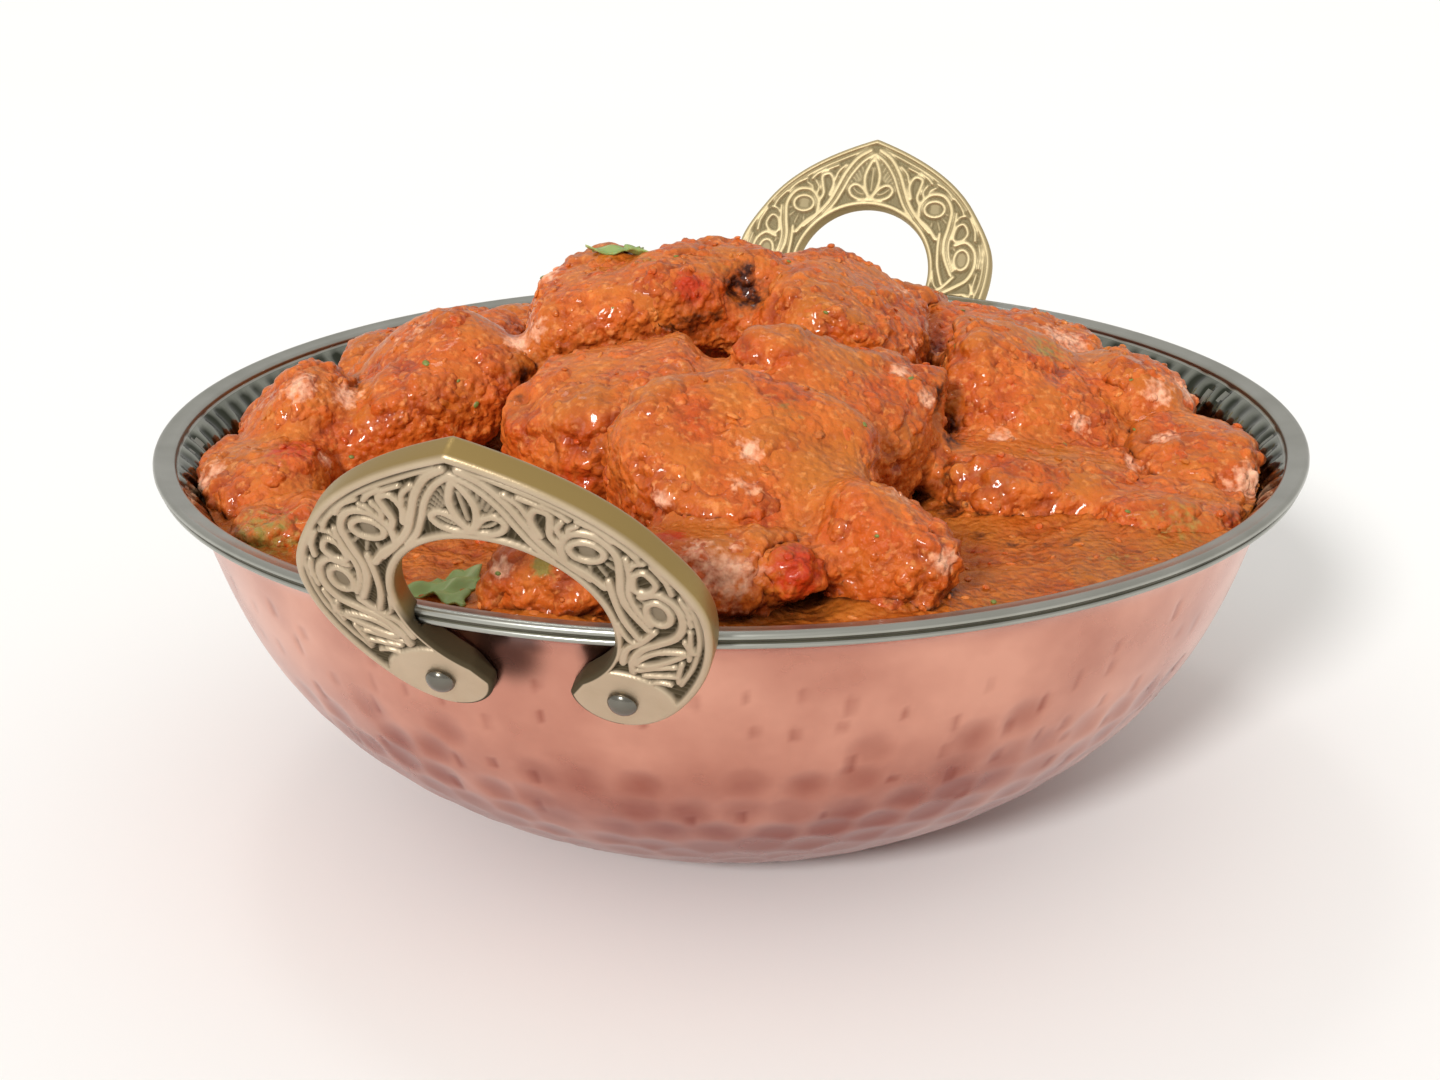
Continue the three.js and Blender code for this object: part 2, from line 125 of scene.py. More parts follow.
def add_node(
    tree: bpy.types.NodeTree, kind: str, sockets: dict[str | int, Any] | None = None, **settings: Any
) -> bpy.types.Node:
    """Add a node to a tree.

    Args:
        tree: The tree that gets the node.
        kind: The node's Blender type name.
        sockets: What its inputs are fed.
        settings: The node's own properties.

    Returns:
        The new node.
    """
    node = tree.nodes.new(kind)
    for name, value in settings.items():
        setattr(node, name, value)
    feed(node, sockets or {})
    return node


def new_material(name: str, **shader_values: Any) -> tuple[bpy.types.Material, bpy.types.Node]:
    """Start a material on a Principled shader.

    Args:
        name: What the real surface is made of.
        shader_values: Shader input names, with _ for a space, and their constant values.

    Returns:
        The material and its shader node.
    """
    material = bpy.data.materials.new(name)
    material.use_nodes = True
    shader = material.node_tree.nodes["Principled BSDF"]
    for label, value in shader_values.items():
        shader.inputs[label.replace("_", " ")].default_value = value
    return material, shader


def put_in_scene(name: str, data: bpy.types.ID) -> bpy.types.Object:
    """Make an object of a mesh, a lamp or a lens, at the origin."""
    made = bpy.data.objects.new(name, data)
    bpy.context.scene.collection.objects.link(made)
    return made


def write_values(piece: bpy.types.Object, label: str, numbers: np.ndarray) -> None:
    """Keep one float for each corner of a piece as an attribute."""
    piece.data.attributes.new(label, "FLOAT", "POINT").data.foreach_set("value", numbers.astype(np.float32))


def make_piece(name: str, vertices: np.ndarray, faces: Sequence, **values: np.ndarray) -> bpy.types.Object:
    """Make a smooth mesh object.

    Args:
        name: The piece's name.
        vertices: Corner places in millimetres.
        faces: Corner numbers of each face, or of each edge where they come in pairs.
        values: One float for each corner, by attribute name.

    Returns:
        The linked object, at the origin.
    """
    mesh = bpy.data.meshes.new(name)
    as_edges = len(faces) > 0 and len(faces[0]) == 2
    mesh.from_pydata((vertices * MM).tolist(), faces if as_edges else [], [] if as_edges else faces)
    piece = put_in_scene(name, mesh)
    for label, numbers in values.items():
        write_values(piece, label, numbers)
    return piece


def close_up(piece: bpy.types.Object, distance: float = 0.002, outwards: bool = True) -> bpy.types.Object:
    """Merge a mesh's doubles, point its faces outwards and shade it smooth.

    Args:
        piece: The object whose mesh is cleaned.
        distance: How near in millimetres two corners merge.
        outwards: Whether to work the facing out again.

    Returns:
        The same object.
    """
    work = bmesh.new()
    work.from_mesh(piece.data)
    bmesh.ops.remove_doubles(work, verts=work.verts, dist=distance * MM)
    if outwards:
        bmesh.ops.recalc_face_normals(work, faces=work.faces)
    for face in work.faces:
        face.smooth = True
    work.to_mesh(piece.data)
    work.free()
    return piece


def settle(piece: bpy.types.Object) -> bpy.types.Object:
    """Turn a piece and its live modifiers into one plain mesh.

    Args:
        piece: The object to settle.

    Returns:
        The same object, with no modifiers.
    """
    graph = bpy.context.evaluated_depsgraph_get()
    shown = piece.evaluated_get(graph)
    mesh = bpy.data.meshes.new_from_object(shown, preserve_all_data_layers=True, depsgraph=graph)
    piece.modifiers.clear()
    piece.data = mesh
    return piece


def fresh_skin(piece: bpy.types.Object, voxel: float, smoothing: int) -> bpy.types.Object:
    """Give a piece one even skin and soften it.

    Args:
        piece: The object, whose forms may overlap.
        voxel: How fine the skin is, in millimetres.
        smoothing: Rounds of softening.

    Returns:
        The same object, settled.
    """
    remesh = piece.modifiers.new("skin", "REMESH")
    remesh.mode = "VOXEL"
    remesh.voxel_size = voxel * MM
    soften = piece.modifiers.new("soften", "SMOOTH")
    soften.factor = 0.5
    soften.iterations = smoothing
    return settle(piece)


def dress(piece: bpy.types.Object, looks: Iterable[bpy.types.Material], slot: Slot, *nodes: str) -> None:
    """Give a piece its materials and tie it to the frame.

    Args:
        piece: The finished object.
        looks: Its materials, in the order of its faces' numbers.
        slot: The record's slot that it stands for, only named in the log.
        nodes: The CAD nodes that it stands for.
    """
    piece.data.materials.clear()
    for look in looks:
        piece.data.materials.append(look)
    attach(piece, BODY)
    if nodes:
        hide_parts(*nodes)
    log.info("%s: %d faces for %s", piece.name, len(piece.data.polygons), ", ".join(nodes) or slot.value)


def corners_of(piece: bpy.types.Object) -> np.ndarray:
    """The places of a piece's corners, in millimetres."""
    places = np.empty(len(piece.data.vertices) * 3, np.float32)
    piece.data.vertices.foreach_get("co", places)
    return places.reshape(-1, 3).astype(float) / MM


def push_corners(piece: bpy.types.Object, distance: np.ndarray) -> None:
    """Move each corner of a piece out along its normal, by its own distance in millimetres."""
    normals = np.empty(len(distance) * 3, np.float32)
    piece.data.vertex_normals.foreach_get("vector", normals)
    places = corners_of(piece) + normals.reshape(-1, 3) * distance[:, None]
    piece.data.vertices.foreach_set("co", (places * MM).astype(np.float32).ravel())
    piece.data.update()


def fading(places: np.ndarray, spots: Iterable[Sequence[float]], power: int = 2) -> np.ndarray:
    """How strongly spots show: each in full at its middle, and fading out over its reach.

    Args:
        places: Where to look, in millimetres.
        spots: The middle, reach and strength of each spot.
        power: How steep the fading is.

    Returns:
        The strongest spot's strength at each place.
    """
    shown = np.zeros(len(places))
    for x, y, z, reach, strength in spots:
        apart = np.linalg.norm(places - np.array([x, y, z]), axis=1) / reach
        shown = np.maximum(shown, strength * np.exp(-(apart**power)))
    return shown


def remove(piece: bpy.types.Object) -> None:
    """Delete a helper object and its mesh."""
    mesh = piece.data
    bpy.data.objects.remove(piece)
    bpy.data.meshes.remove(mesh)


class Recipe:
    """A Geometry Nodes tree with named inputs, put on a piece and settled into its mesh."""

    def __init__(self, name: str, inputs: dict[str, tuple[str, Any]]) -> None:
        """Start a tree.

        Args:
            name: The tree's name.
            inputs: Input name to its socket kind, such as Float, and its default.
        """
        self.tree = bpy.data.node_groups.new(name, "GeometryNodeTree")
        make = self.tree.interface.new_socket
        make("Geometry", in_out="INPUT", socket_type="NodeSocketGeometry")
        for label, (kind, default) in inputs.items():
            socket = make(label, in_out="INPUT", socket_type=f"NodeSocket{kind}")
            if default is not None:
                socket.default_value = default
        make("Geometry", in_out="OUTPUT", socket_type="NodeSocketGeometry")
        self.given = add_node(self.tree, "NodeGroupInput").outputs

    def add(self, kind: str, sockets: dict | None = None, **settings: Any) -> bpy.types.Node:
        """Add a node to this tree, as add_node does."""
        return add_node(self.tree, kind, sockets, **settings)

    def finish(self, geometry: bpy.types.Node | bpy.types.NodeSocket) -> None:
        """Lead the last node's geometry out of the tree."""
        self.add("NodeGroupOutput", {0: geometry})

    def put_on(self, piece: bpy.types.Object, **values: Any) -> bpy.types.Object:
        """Run the tree on a piece.

        Args:
            piece: The object that the tree changes.
            values: Input names, with _ for a space, and their values.

        Returns:
            The same object, settled.
        """
        modifier = piece.modifiers.new(self.tree.name, "NODES")
        modifier.node_group = self.tree
        for item in self.tree.interface.items_tree:
            label = item.name.replace(" ", "_")
            if item.in_out == "INPUT" and label in values:
                modifier[item.identifier] = values[label]
        return settle(piece)


# ---- Curves and turned shapes ---------------------------------------------------------------


def bezier(p0: Sequence, p1: Sequence, p2: Sequence, p3: Sequence, steps: int = 24) -> np.ndarray:
    """Sample a cubic Bezier curve.

    Args:
        p0: Start.
        p1: First handle.
        p2: Second handle.
        p3: End.
        steps: Number of stretches.

    Returns:
        Points from start to end.
    """
    t = np.linspace(0, 1, steps + 1)[:, None]
    points = [np.array(p, float) for p in (p0, p1, p2, p3)]
    weights = [(1 - t) ** 3, 3 * t * (1 - t) ** 2, 3 * t**2 * (1 - t), t**3]
    return sum(weight * point for weight, point in zip(weights, points))


def smooth_path(points: Sequence[Sequence[float]], closed: bool = False, steps: int = 7) -> np.ndarray:
    """Run a smooth curve through points.

    Args:
        points: Two or more places in the plane.
        closed: Whether the curve ends where it starts.
        steps: Samples for each stretch.

    Returns:
        The sampled curve.
    """
    p = np.array(points, float)
    ends = (p[-1:], p[:2]) if closed else (2 * p[:1] - p[1:2], 2 * p[-1:] - p[-2:-1])
    p = np.vstack([ends[0], p, ends[1]])
    t = np.linspace(0, 1, steps, endpoint=False)[:, None]
    parts = []
    for a, b, c, d in zip(p[:-3], p[1:-2], p[2:-1], p[3:]):
        bend = 2 * a - 5 * b + 4 * c - d
        twist = -a + 3 * b - 3 * c + d
        parts.append(0.5 * (2 * b + (c - a) * t + bend * t**2 + twist * t**3))
    return np.vstack([*parts, p[-2:-1]])


def evenly(path: np.ndarray, count: int) -> np.ndarray:
    """Sample a path at even steps along its length, with both ends kept."""
    reach = np.concatenate([[0], np.cumsum(np.linalg.norm(np.diff(path, axis=0), axis=1))])
    at = np.linspace(0, reach[-1], count)
    return np.stack([np.interp(at, reach, path[:, axis]) for axis in (0, 1)], axis=1)


def left_normals(path: np.ndarray) -> np.ndarray:
    """Unit normals on the left of a path, one for each of its points."""
    along = np.gradient(path, axis=0)
    normals = np.stack([-along[:, 1], along[:, 0]], axis=1)
    return normals / np.maximum(np.linalg.norm(normals, axis=1, keepdims=True), 1e-9)


def rounded(corners: Sequence[Sequence[float]], reaches: Sequence[float], steps: int = 6) -> np.ndarray:
    """Round the corners of an open line.

    Args:
        corners: The line's corners.
        reaches: For each corner, how far along the line its rounding starts.
        steps: Stretches in each rounding.

    Returns:
        The rounded line.
    """
    p = np.array(corners, float)
    parts = [p[:1]]
    t = np.linspace(0, 1, steps + 1)[:, None]
    for before, at, after, reach in zip(p[:-2], p[1:-1], p[2:], reaches[1:-1]):
        start = at + (before - at) / np.linalg.norm(before - at) * reach
        end = at + (after - at) / np.linalg.norm(after - at) * reach
        parts.append((1 - t) ** 2 * start + 2 * t * (1 - t) * at + t**2 * end)
    return np.vstack([*parts, p[-1:]])


def distance_to_path(points: np.ndarray, path: np.ndarray) -> np.ndarray:
    """Distance in the plane from each point to the nearest place on a path."""
    start, step = path[:-1], np.diff(path, axis=0)
    length = np.maximum((step**2).sum(1), 1e-9)
    apart = points[:, None] - start[None]
    share = np.clip((apart * step[None]).sum(2) / length, 0, 1)
    return np.linalg.norm(apart - share[..., None] * step[None], axis=2).min(1)


def ring_faces(rings: int, around: int, wrap: bool) -> list[tuple[int, int, int, int]]:
    """Quads of a grid of rings, whose places close on themselves.

    Args:
        rings: Number of rings.
        around: Places on each ring.
        wrap: Whether the last ring joins the first.

    Returns:
        Four corner numbers for each face.
    """
    faces = []
    for i in range(rings if wrap else rings - 1):
        j = (i + 1) % rings
        for k in range(around):
            n = (k + 1) % around
            faces.append((i * around + k, j * around + k, j * around + n, i * around + n))
    return faces


def thinned(line: np.ndarray, step: int) -> np.ndarray:
    """Keep every so many points of a line, and its end."""
    return np.vstack([line[:-1:step], line[-1:]])


def turned(name: str, section: np.ndarray, sides: int, **values: np.ndarray) -> bpy.types.Object:
    """Turn a closed section about the bowl's axis.

    Args:
        name: The piece's name.
        section: Radius and height of each corner.
        sides: Steps round the axis.
        values: One float for each corner of the section, by attribute name.

    Returns:
        The closed piece.
    """
    angle = np.linspace(0, 2 * math.pi, sides, endpoint=False)
    radius, height = section[:, :1], section[:, 1:]
    rings = [radius * np.cos(angle), radius * np.sin(angle), height + 0 * angle]
    vertices = np.stack(rings, axis=2).reshape(-1, 3)
    spread = {label: np.repeat(numbers, sides) for label, numbers in values.items()}
    return close_up(make_piece(name, vertices, ring_faces(len(section), sides, True), **spread))


# ---- Finishes -------------------------------------------------------------------------------


@dataclass(frozen=True)
class HammeredCopper:
    """Copper sheet, raised over a stake with a round hammer and then lacquered.

    It is a warm salmon metal with a satin sheen, darker in the hammer marks, with painted shade that makes it
    browner low on the wall, and a painted shadow and reflection of each handle, nearly black, beside its
    feet.
    """

    bright: str = "#E0A28C"
    # colour of tarnish, of the hammer marks and of the painted shade low on the wall
    tarnish_and_shade: str = "#964C3C"
    # colour of the painted shadow and dark reflection of the handles, beside their feet
    unpolished: str = "#451C0C"
    cloud_size: float = 16.0
    # height at which the painted shade low on the wall fades out
    low_shade_height: float = 36.0
    scratch_spacing: float = 0.35

    def material(self) -> bpy.types.Material:
        """Build the finish."""
        material, shader = new_material(
            "lacquered hammered copper",
            Metallic=1.0,
            Coat_Weight=0.35,
            Coat_Roughness=0.3,
        )
        add = partial(add_node, material.node_tree)
        place = add("ShaderNodeTexCoord").outputs["Object"]
        cloud = add(
            "ShaderNodeTexNoise",
            {"Vector": place, "Scale": 1 / (self.cloud_size * MM), "Detail": 4.0},
        )
        dent = add("ShaderNodeAttribute", attribute_name="dent").outputs["Fac"]
        height = add("ShaderNodeSeparateXYZ", {0: place}).outputs["Z"]
        # painted shade: the wall darkens towards its bottom
        low = add(
            "ShaderNodeMapRange",
            {"Value": height, "From Max": self.low_shade_height * MM, "To Min": 0.78, "To Max": 0.0},
        )
        mottled_and_shaded = add("ShaderNodeMath", {0: low, 1: cloud}, operation="ADD")
        darker = add("ShaderNodeMath", {0: dent, 1: 0.32, 2: mottled_and_shaded}, operation="MULTIPLY_ADD")
        share = add("ShaderNodeMapRange", {"Value": darker, "From Min": 0.35, "From Max": 1.05})
        worked = add(
            "ShaderNodeMix",
            {0: share, 6: linear(self.bright), 7: linear(self.tarnish_and_shade)},
            data_type="RGBA",
        )
        # painted shade: the handles' shadow and dark reflection darken the copper nearly to black beside
        # their feet
        handle_shade_share = add("ShaderNodeAttribute", attribute_name="unpolished").outputs["Fac"]
        tint = add(
            "ShaderNodeMix",
            {0: handle_shade_share, 6: worked.outputs[2], 7: linear(self.unpolished)},
            data_type="RGBA",
        )
        gloss = add("ShaderNodeMapRange", {"Value": cloud, "To Min": 0.2, "To Max": 0.32})
        grain = add(
            "ShaderNodeTexNoise",
            {"Vector": place, "Scale": 1 / (self.scratch_spacing * MM), "Detail": 2.0},
        )
        bump = add("ShaderNodeBump", {"Strength": 0.06, "Distance": 0.0001, "Height": grain})
        feed(shader, {"Base Color": tint.outputs[2], "Roughness": gloss, "Normal": bump})
        return material


@dataclass(frozen=True)
class SteelFinish:
    """Stainless sheet, polished on a wheel: a cool grey mirror softened by fine rings of brushing."""

    name: str = "satin stainless steel"
    tone: str = "#B6B6AE"
    shade: str = "#929289"
    roughness: float = 0.3
    ring_spacing: float = 0.3
    cloud_size: float = 9.0

    def material(self) -> bpy.types.Material:
        """Build the finish."""
        material, shader = new_material(self.name, Metallic=1.0)
        add = partial(add_node, material.node_tree)
        place = add("ShaderNodeTexCoord").outputs["Object"]
        cloud = add(
            "ShaderNodeTexNoise",
            {"Vector": place, "Scale": 1 / (self.cloud_size * MM), "Detail": 3.0},
        )
        # painted reflection: the hammer's dents take the shade colour, for the dark reflections in the flutes
        dent = add("ShaderNodeAttribute", attribute_name="dent").outputs["Fac"]
        share = add(
            "ShaderNodeMath",
            {0: dent, 1: 0.9, 2: cloud},
            operation="MULTIPLY_ADD",
            use_clamp=True,
        )
        tint = add(
            "ShaderNodeMix",
            {0: share, 6: linear(self.tone), 7: linear(self.shade)},
            data_type="RGBA",
        )
        low, high = self.roughness * 0.8, self.roughness * 1.3
        gloss = add("ShaderNodeMapRange", {"Value": cloud, "To Min": low, "To Max": high})
        radial = add("ShaderNodeVectorMath", {0: place, 1: (1.0, 1.0, 0.0)}, operation="MULTIPLY")
        reach = add("ShaderNodeVectorMath", {0: radial}, operation="LENGTH").outputs["Value"]
        rings = add(
            "ShaderNodeTexNoise",
            {"W": reach, "Scale": 1 / (self.ring_spacing * MM), "Detail": 1.0},
            noise_dimensions="1D",
        )
        bump = add("ShaderNodeBump", {"Strength": 0.05, "Distance": 0.0001, "Height": rings})
        feed(shader, {"Base Color": tint.outputs[2], "Roughness": gloss, "Normal": bump})
        return material


@dataclass(frozen=True)
class CastBrass:
    """Sand-cast brass, blackened with patina and then wiped, so that only the raised work is bright."""

    polished: str = "#D2BFA5"
    worn: str = "#B8A488"
    patina: str = "#43371F"
    aged: str = "#A88E58"
    roughness: float = 0.4
    cloud_size: float = 5.0
    sand_grain: float = 0.25

    def material(self) -> bpy.types.Material:
        """Build the finish."""
        material, shader = new_material("patinated cast brass", Metallic=1.0)
        add = partial(add_node, material.node_tree)
        place = add("ShaderNodeTexCoord").outputs["Object"]
        cloud = add(
            "ShaderNodeTexNoise",
            {"Vector": place, "Scale": 1 / (self.cloud_size * MM), "Detail": 4.0},
        )
        wear = add(
            "ShaderNodeMix",
            {0: cloud, 6: linear(self.polished), 7: linear(self.worn)},
            data_type="RGBA",
        )
        side = add("ShaderNodeAttribute", attribute_name="side").outputs["Fac"]
        golden = add(
            "ShaderNodeMix",
            {0: side, 6: wear.outputs[2], 7: linear(self.aged)},
            data_type="RGBA",
        )
        hollow = add("ShaderNodeAttribute", attribute_name="hollow").outputs["Fac"]
        share = add("ShaderNodeMapRange", {"Value": hollow, "From Min": 0.1, "From Max": 0.8})
        tint = add(
            "ShaderNodeMix",
            {0: share, 6: golden.outputs[2], 7: linear(self.patina)},
            data_type="RGBA",
        )
        gloss = add("ShaderNodeMapRange", {"Value": share, "To Min": self.roughness, "To Max": 0.75})
        metal = add("ShaderNodeMapRange", {"Value": share, "To Min": 0.9, "To Max": 0.35})
        grain = add(
            "ShaderNodeTexNoise",
            {"Vector": place, "Scale": 1 / (self.sand_grain * MM), "Detail": 3.0},
        )
        bump = add("ShaderNodeBump", {"Strength": 0.25, "Distance": 0.0001, "Height": grain})
        feed(shader, {"Base Color": tint.outputs[2], "Roughness": gloss, "Metallic": metal, "Normal": bump})
        return material


@dataclass(frozen=True)
class CurrySauce:
    """Tomato and onion gravy bound with fat, over meat or on its own.

    It is an opaque orange, glossy and a little translucent, granular where it is thin and smoother and
    more ochre where it lies thick. Ground nuts and cream pale it, tomato reddens it, herbs dull it. Its pale
    patches are partly painted highlight, and its brown patches, its pits and the valleys between pieces
    painted shade.
    """

    name: str
    # colour of the painted shade in the grain's pits
    deep: str = "#842808"
    body: str = "#C25014"
    light: str = "#D87028"
    ochre: str = "#B8691E"
    fleck: str = "#EE9A54"
    # colour of the pale patches, partly cream and partly painted highlight
    cream_and_highlight: str = "#F5B692"
    tomato: str = "#BC3408"
    herb: str = "#98823C"
    # colour of the painted shade on shaded faces and in creases
    brown: str = "#8E3E14"
    shade: str = "#3E1606"
    film: float = 0.32
    roughness: float = 0.4
    patch_size: float = 6.0
    speckle_size: float = 1.1
    grain_size: float = 1.1
    wide_patches: float = 2.2
    finest_grain: float = 0.45

    def material(self) -> bpy.types.Material:
        """Build the finish."""
        material, shader = new_material(
            self.name,
            Subsurface_Weight=0.08,
            Subsurface_Radius=(1.0, 0.3, 0.12),
            Subsurface_Scale=0.001,
            Specular_IOR_Level=0.25,
            Coat_Weight=self.film,
            Coat_Roughness=0.09,
            IOR=1.4,
        )
        add = partial(add_node, material.node_tree)
        place = add("ShaderNodeTexCoord").outputs["Object"]
        patches = add(
            "ShaderNodeTexNoise",
            {"Vector": place, "Scale": 1 / (self.patch_size * MM), "Detail": 5.0},
        )
        wide = add(
            "ShaderNodeTexNoise",
            {"Vector": place, "Scale": 1 / (self.wide_patches * self.patch_size * MM), "Detail": 3.0},
        )
        coat = add("ShaderNodeAttribute", attribute_name="coat").outputs["Fac"]
        thick = add("ShaderNodeMath", {0: coat, 1: 0.35, 2: wide}, operation="MULTIPLY_ADD")
        yellow = add("ShaderNodeMapRange", {"Value": thick, "From Min": 0.5, "From Max": 0.95, "To Max": 0.8})
        # painted shade: the pits of the grain darken towards the deep colour
        hollow = add("ShaderNodeAttribute", attribute_name="hollow").outputs["Fac"]
        sunk = add("ShaderNodeMapRange", {"Value": hollow, "From Min": 0.35, "From Max": 1.0, "To Max": 0.7})
        speckle = add(
            "ShaderNodeTexNoise",
            {"Vector": place, "Scale": 1 / (self.speckle_size * MM), "Detail": 3.0},
        )
        flecks = add(
            "ShaderNodeMapRange",
            {"Value": speckle, "From Min": 0.55, "From Max": 0.7, "To Max": 0.5},
        )
        # painted shade: places shut in by other food darken towards the shade colour
        valley = add("ShaderNodeAttribute", attribute_name="valley").outputs["Fac"]
        dim = add("ShaderNodeMapRange", {"Value": valley, "From Min": 0.15, "From Max": 0.7, "To Max": 0.9})
        layers = [(yellow, self.ochre), (sunk, self.deep), (flecks, self.fleck), (dim, self.shade)]
        for tone, colour in self.tones().items():
            mark = add("ShaderNodeAttribute", attribute_name=tone.value).outputs["Fac"]
            ragged = add("ShaderNodeMath", {0: speckle, 1: 1.2, 2: mark}, operation="MULTIPLY_ADD")
            shown = add("ShaderNodeMapRange", {"Value": ragged, "From Min": 1.0, "From Max": 1.45})
            layers.append((shown, colour))
        share = add("ShaderNodeMapRange", {"Value": patches, "From Min": 0.36, "From Max": 0.66})
        tint = add("ShaderNodeMix", {0: share, 6: linear(self.body), 7: linear(self.light)}, data_type="RGBA")
        for share, colour in layers:
            tint = add("ShaderNodeMix", {0: share, 6: tint.outputs[2], 7: linear(colour)}, data_type="RGBA")
        low, high = self.roughness * 0.75, self.roughness * 1.35
        gloss = add(
            "ShaderNodeMapRange",
            {"Value": patches, "From Min": 0.3, "From Max": 0.7, "To Min": low, "To Max": high},
        )
        nubs = add(
            "ShaderNodeTexVoronoi",
            {"Vector": place, "Scale": 1 / (self.grain_size * MM), "Smoothness": 0.5},
            feature="SMOOTH_F1",
        )
        fine = add(
            "ShaderNodeTexNoise",
            {"Vector": place, "Scale": 1 / (self.finest_grain * MM), "Detail": 3.0},
        )
        grain = add("ShaderNodeMath", {0: nubs, 1: -1.0, 2: 1.0}, operation="MULTIPLY_ADD")
        grain = add("ShaderNodeMath", {0: fine, 1: 0.35, 2: grain}, operation="MULTIPLY_ADD")
        sharp = add("ShaderNodeMapRange", {"Value": coat, "To Min": 1.0, "To Max": 0.65})
        bump = add("ShaderNodeBump", {"Strength": sharp, "Distance": 0.0006, "Height": grain})
        feed(shader, {"Base Color": tint.outputs[2], "Roughness": gloss, "Normal": bump})
        return material

    def tones(self) -> dict[Tone, str]:
        """The colour of each tone that a patch of sauce may have."""
        return {
            Tone.BROWN: self.brown,
            Tone.TOMATO: self.tomato,
            Tone.HERB: self.herb,
            Tone.CREAM_AND_HIGHLIGHT: self.cream_and_highlight,
            Tone.SHADE: self.shade,
        }


@dataclass(frozen=True)
class FreshLeaf:
    """Coriander leaf, wilted by hot sauce: soft green with pale veins and an oily bloom."""

    blade: str = "#8FA85E"
    rib: str = "#B4BE88"
    dull: str = "#859650"
    cloud_size: float = 3.0

    def material(self) -> bpy.types.Material:
        """Build the finish."""
        material, shader = new_material(
            "coriander leaf",
            Roughness=0.42,
            Subsurface_Weight=0.2,
            Subsurface_Scale=0.001,
        )
        add = partial(add_node, material.node_tree)
        place = add("ShaderNodeTexCoord").outputs["Object"]
        cloud = add(
            "ShaderNodeTexNoise",
            {"Vector": place, "Scale": 1 / (self.cloud_size * MM), "Detail": 3.0},
        )
        blade = add(
            "ShaderNodeMix",
            {0: cloud, 6: linear(self.blade), 7: linear(self.dull)},
            data_type="RGBA",
        )
        vein = add("ShaderNodeAttribute", attribute_name="vein").outputs["Fac"]
        tint = add("ShaderNodeMix", {0: vein, 6: blade.outputs[2], 7: linear(self.rib)}, data_type="RGBA")
        feed(shader, {"Base Color": tint.outputs[2]})
        return material


@dataclass(frozen=True)
class PaleFloor:
    """Matt white laminate."""

    tone: str = "#FAFAF8"
    cloud: str = "#F6F6F4"

    def material(self) -> bpy.types.Material:
        """Build the finish."""
        material, shader = new_material("matt white laminate", Roughness=0.9)
        add = partial(add_node, material.node_tree)
        place = add("ShaderNodeTexCoord").outputs["Object"]
        cloud = add("ShaderNodeTexNoise", {"Vector": place, "Scale": 3.0, "Detail": 1.0})
        tint = add(
            "ShaderNodeMix",
            {0: cloud, 6: linear(self.tone), 7: linear(self.cloud)},
            data_type="RGBA",
        )
        feed(shader, {"Base Color": tint.outputs[2]})
        return material


# ---- Studio ---------------------------------------------------------------------------------


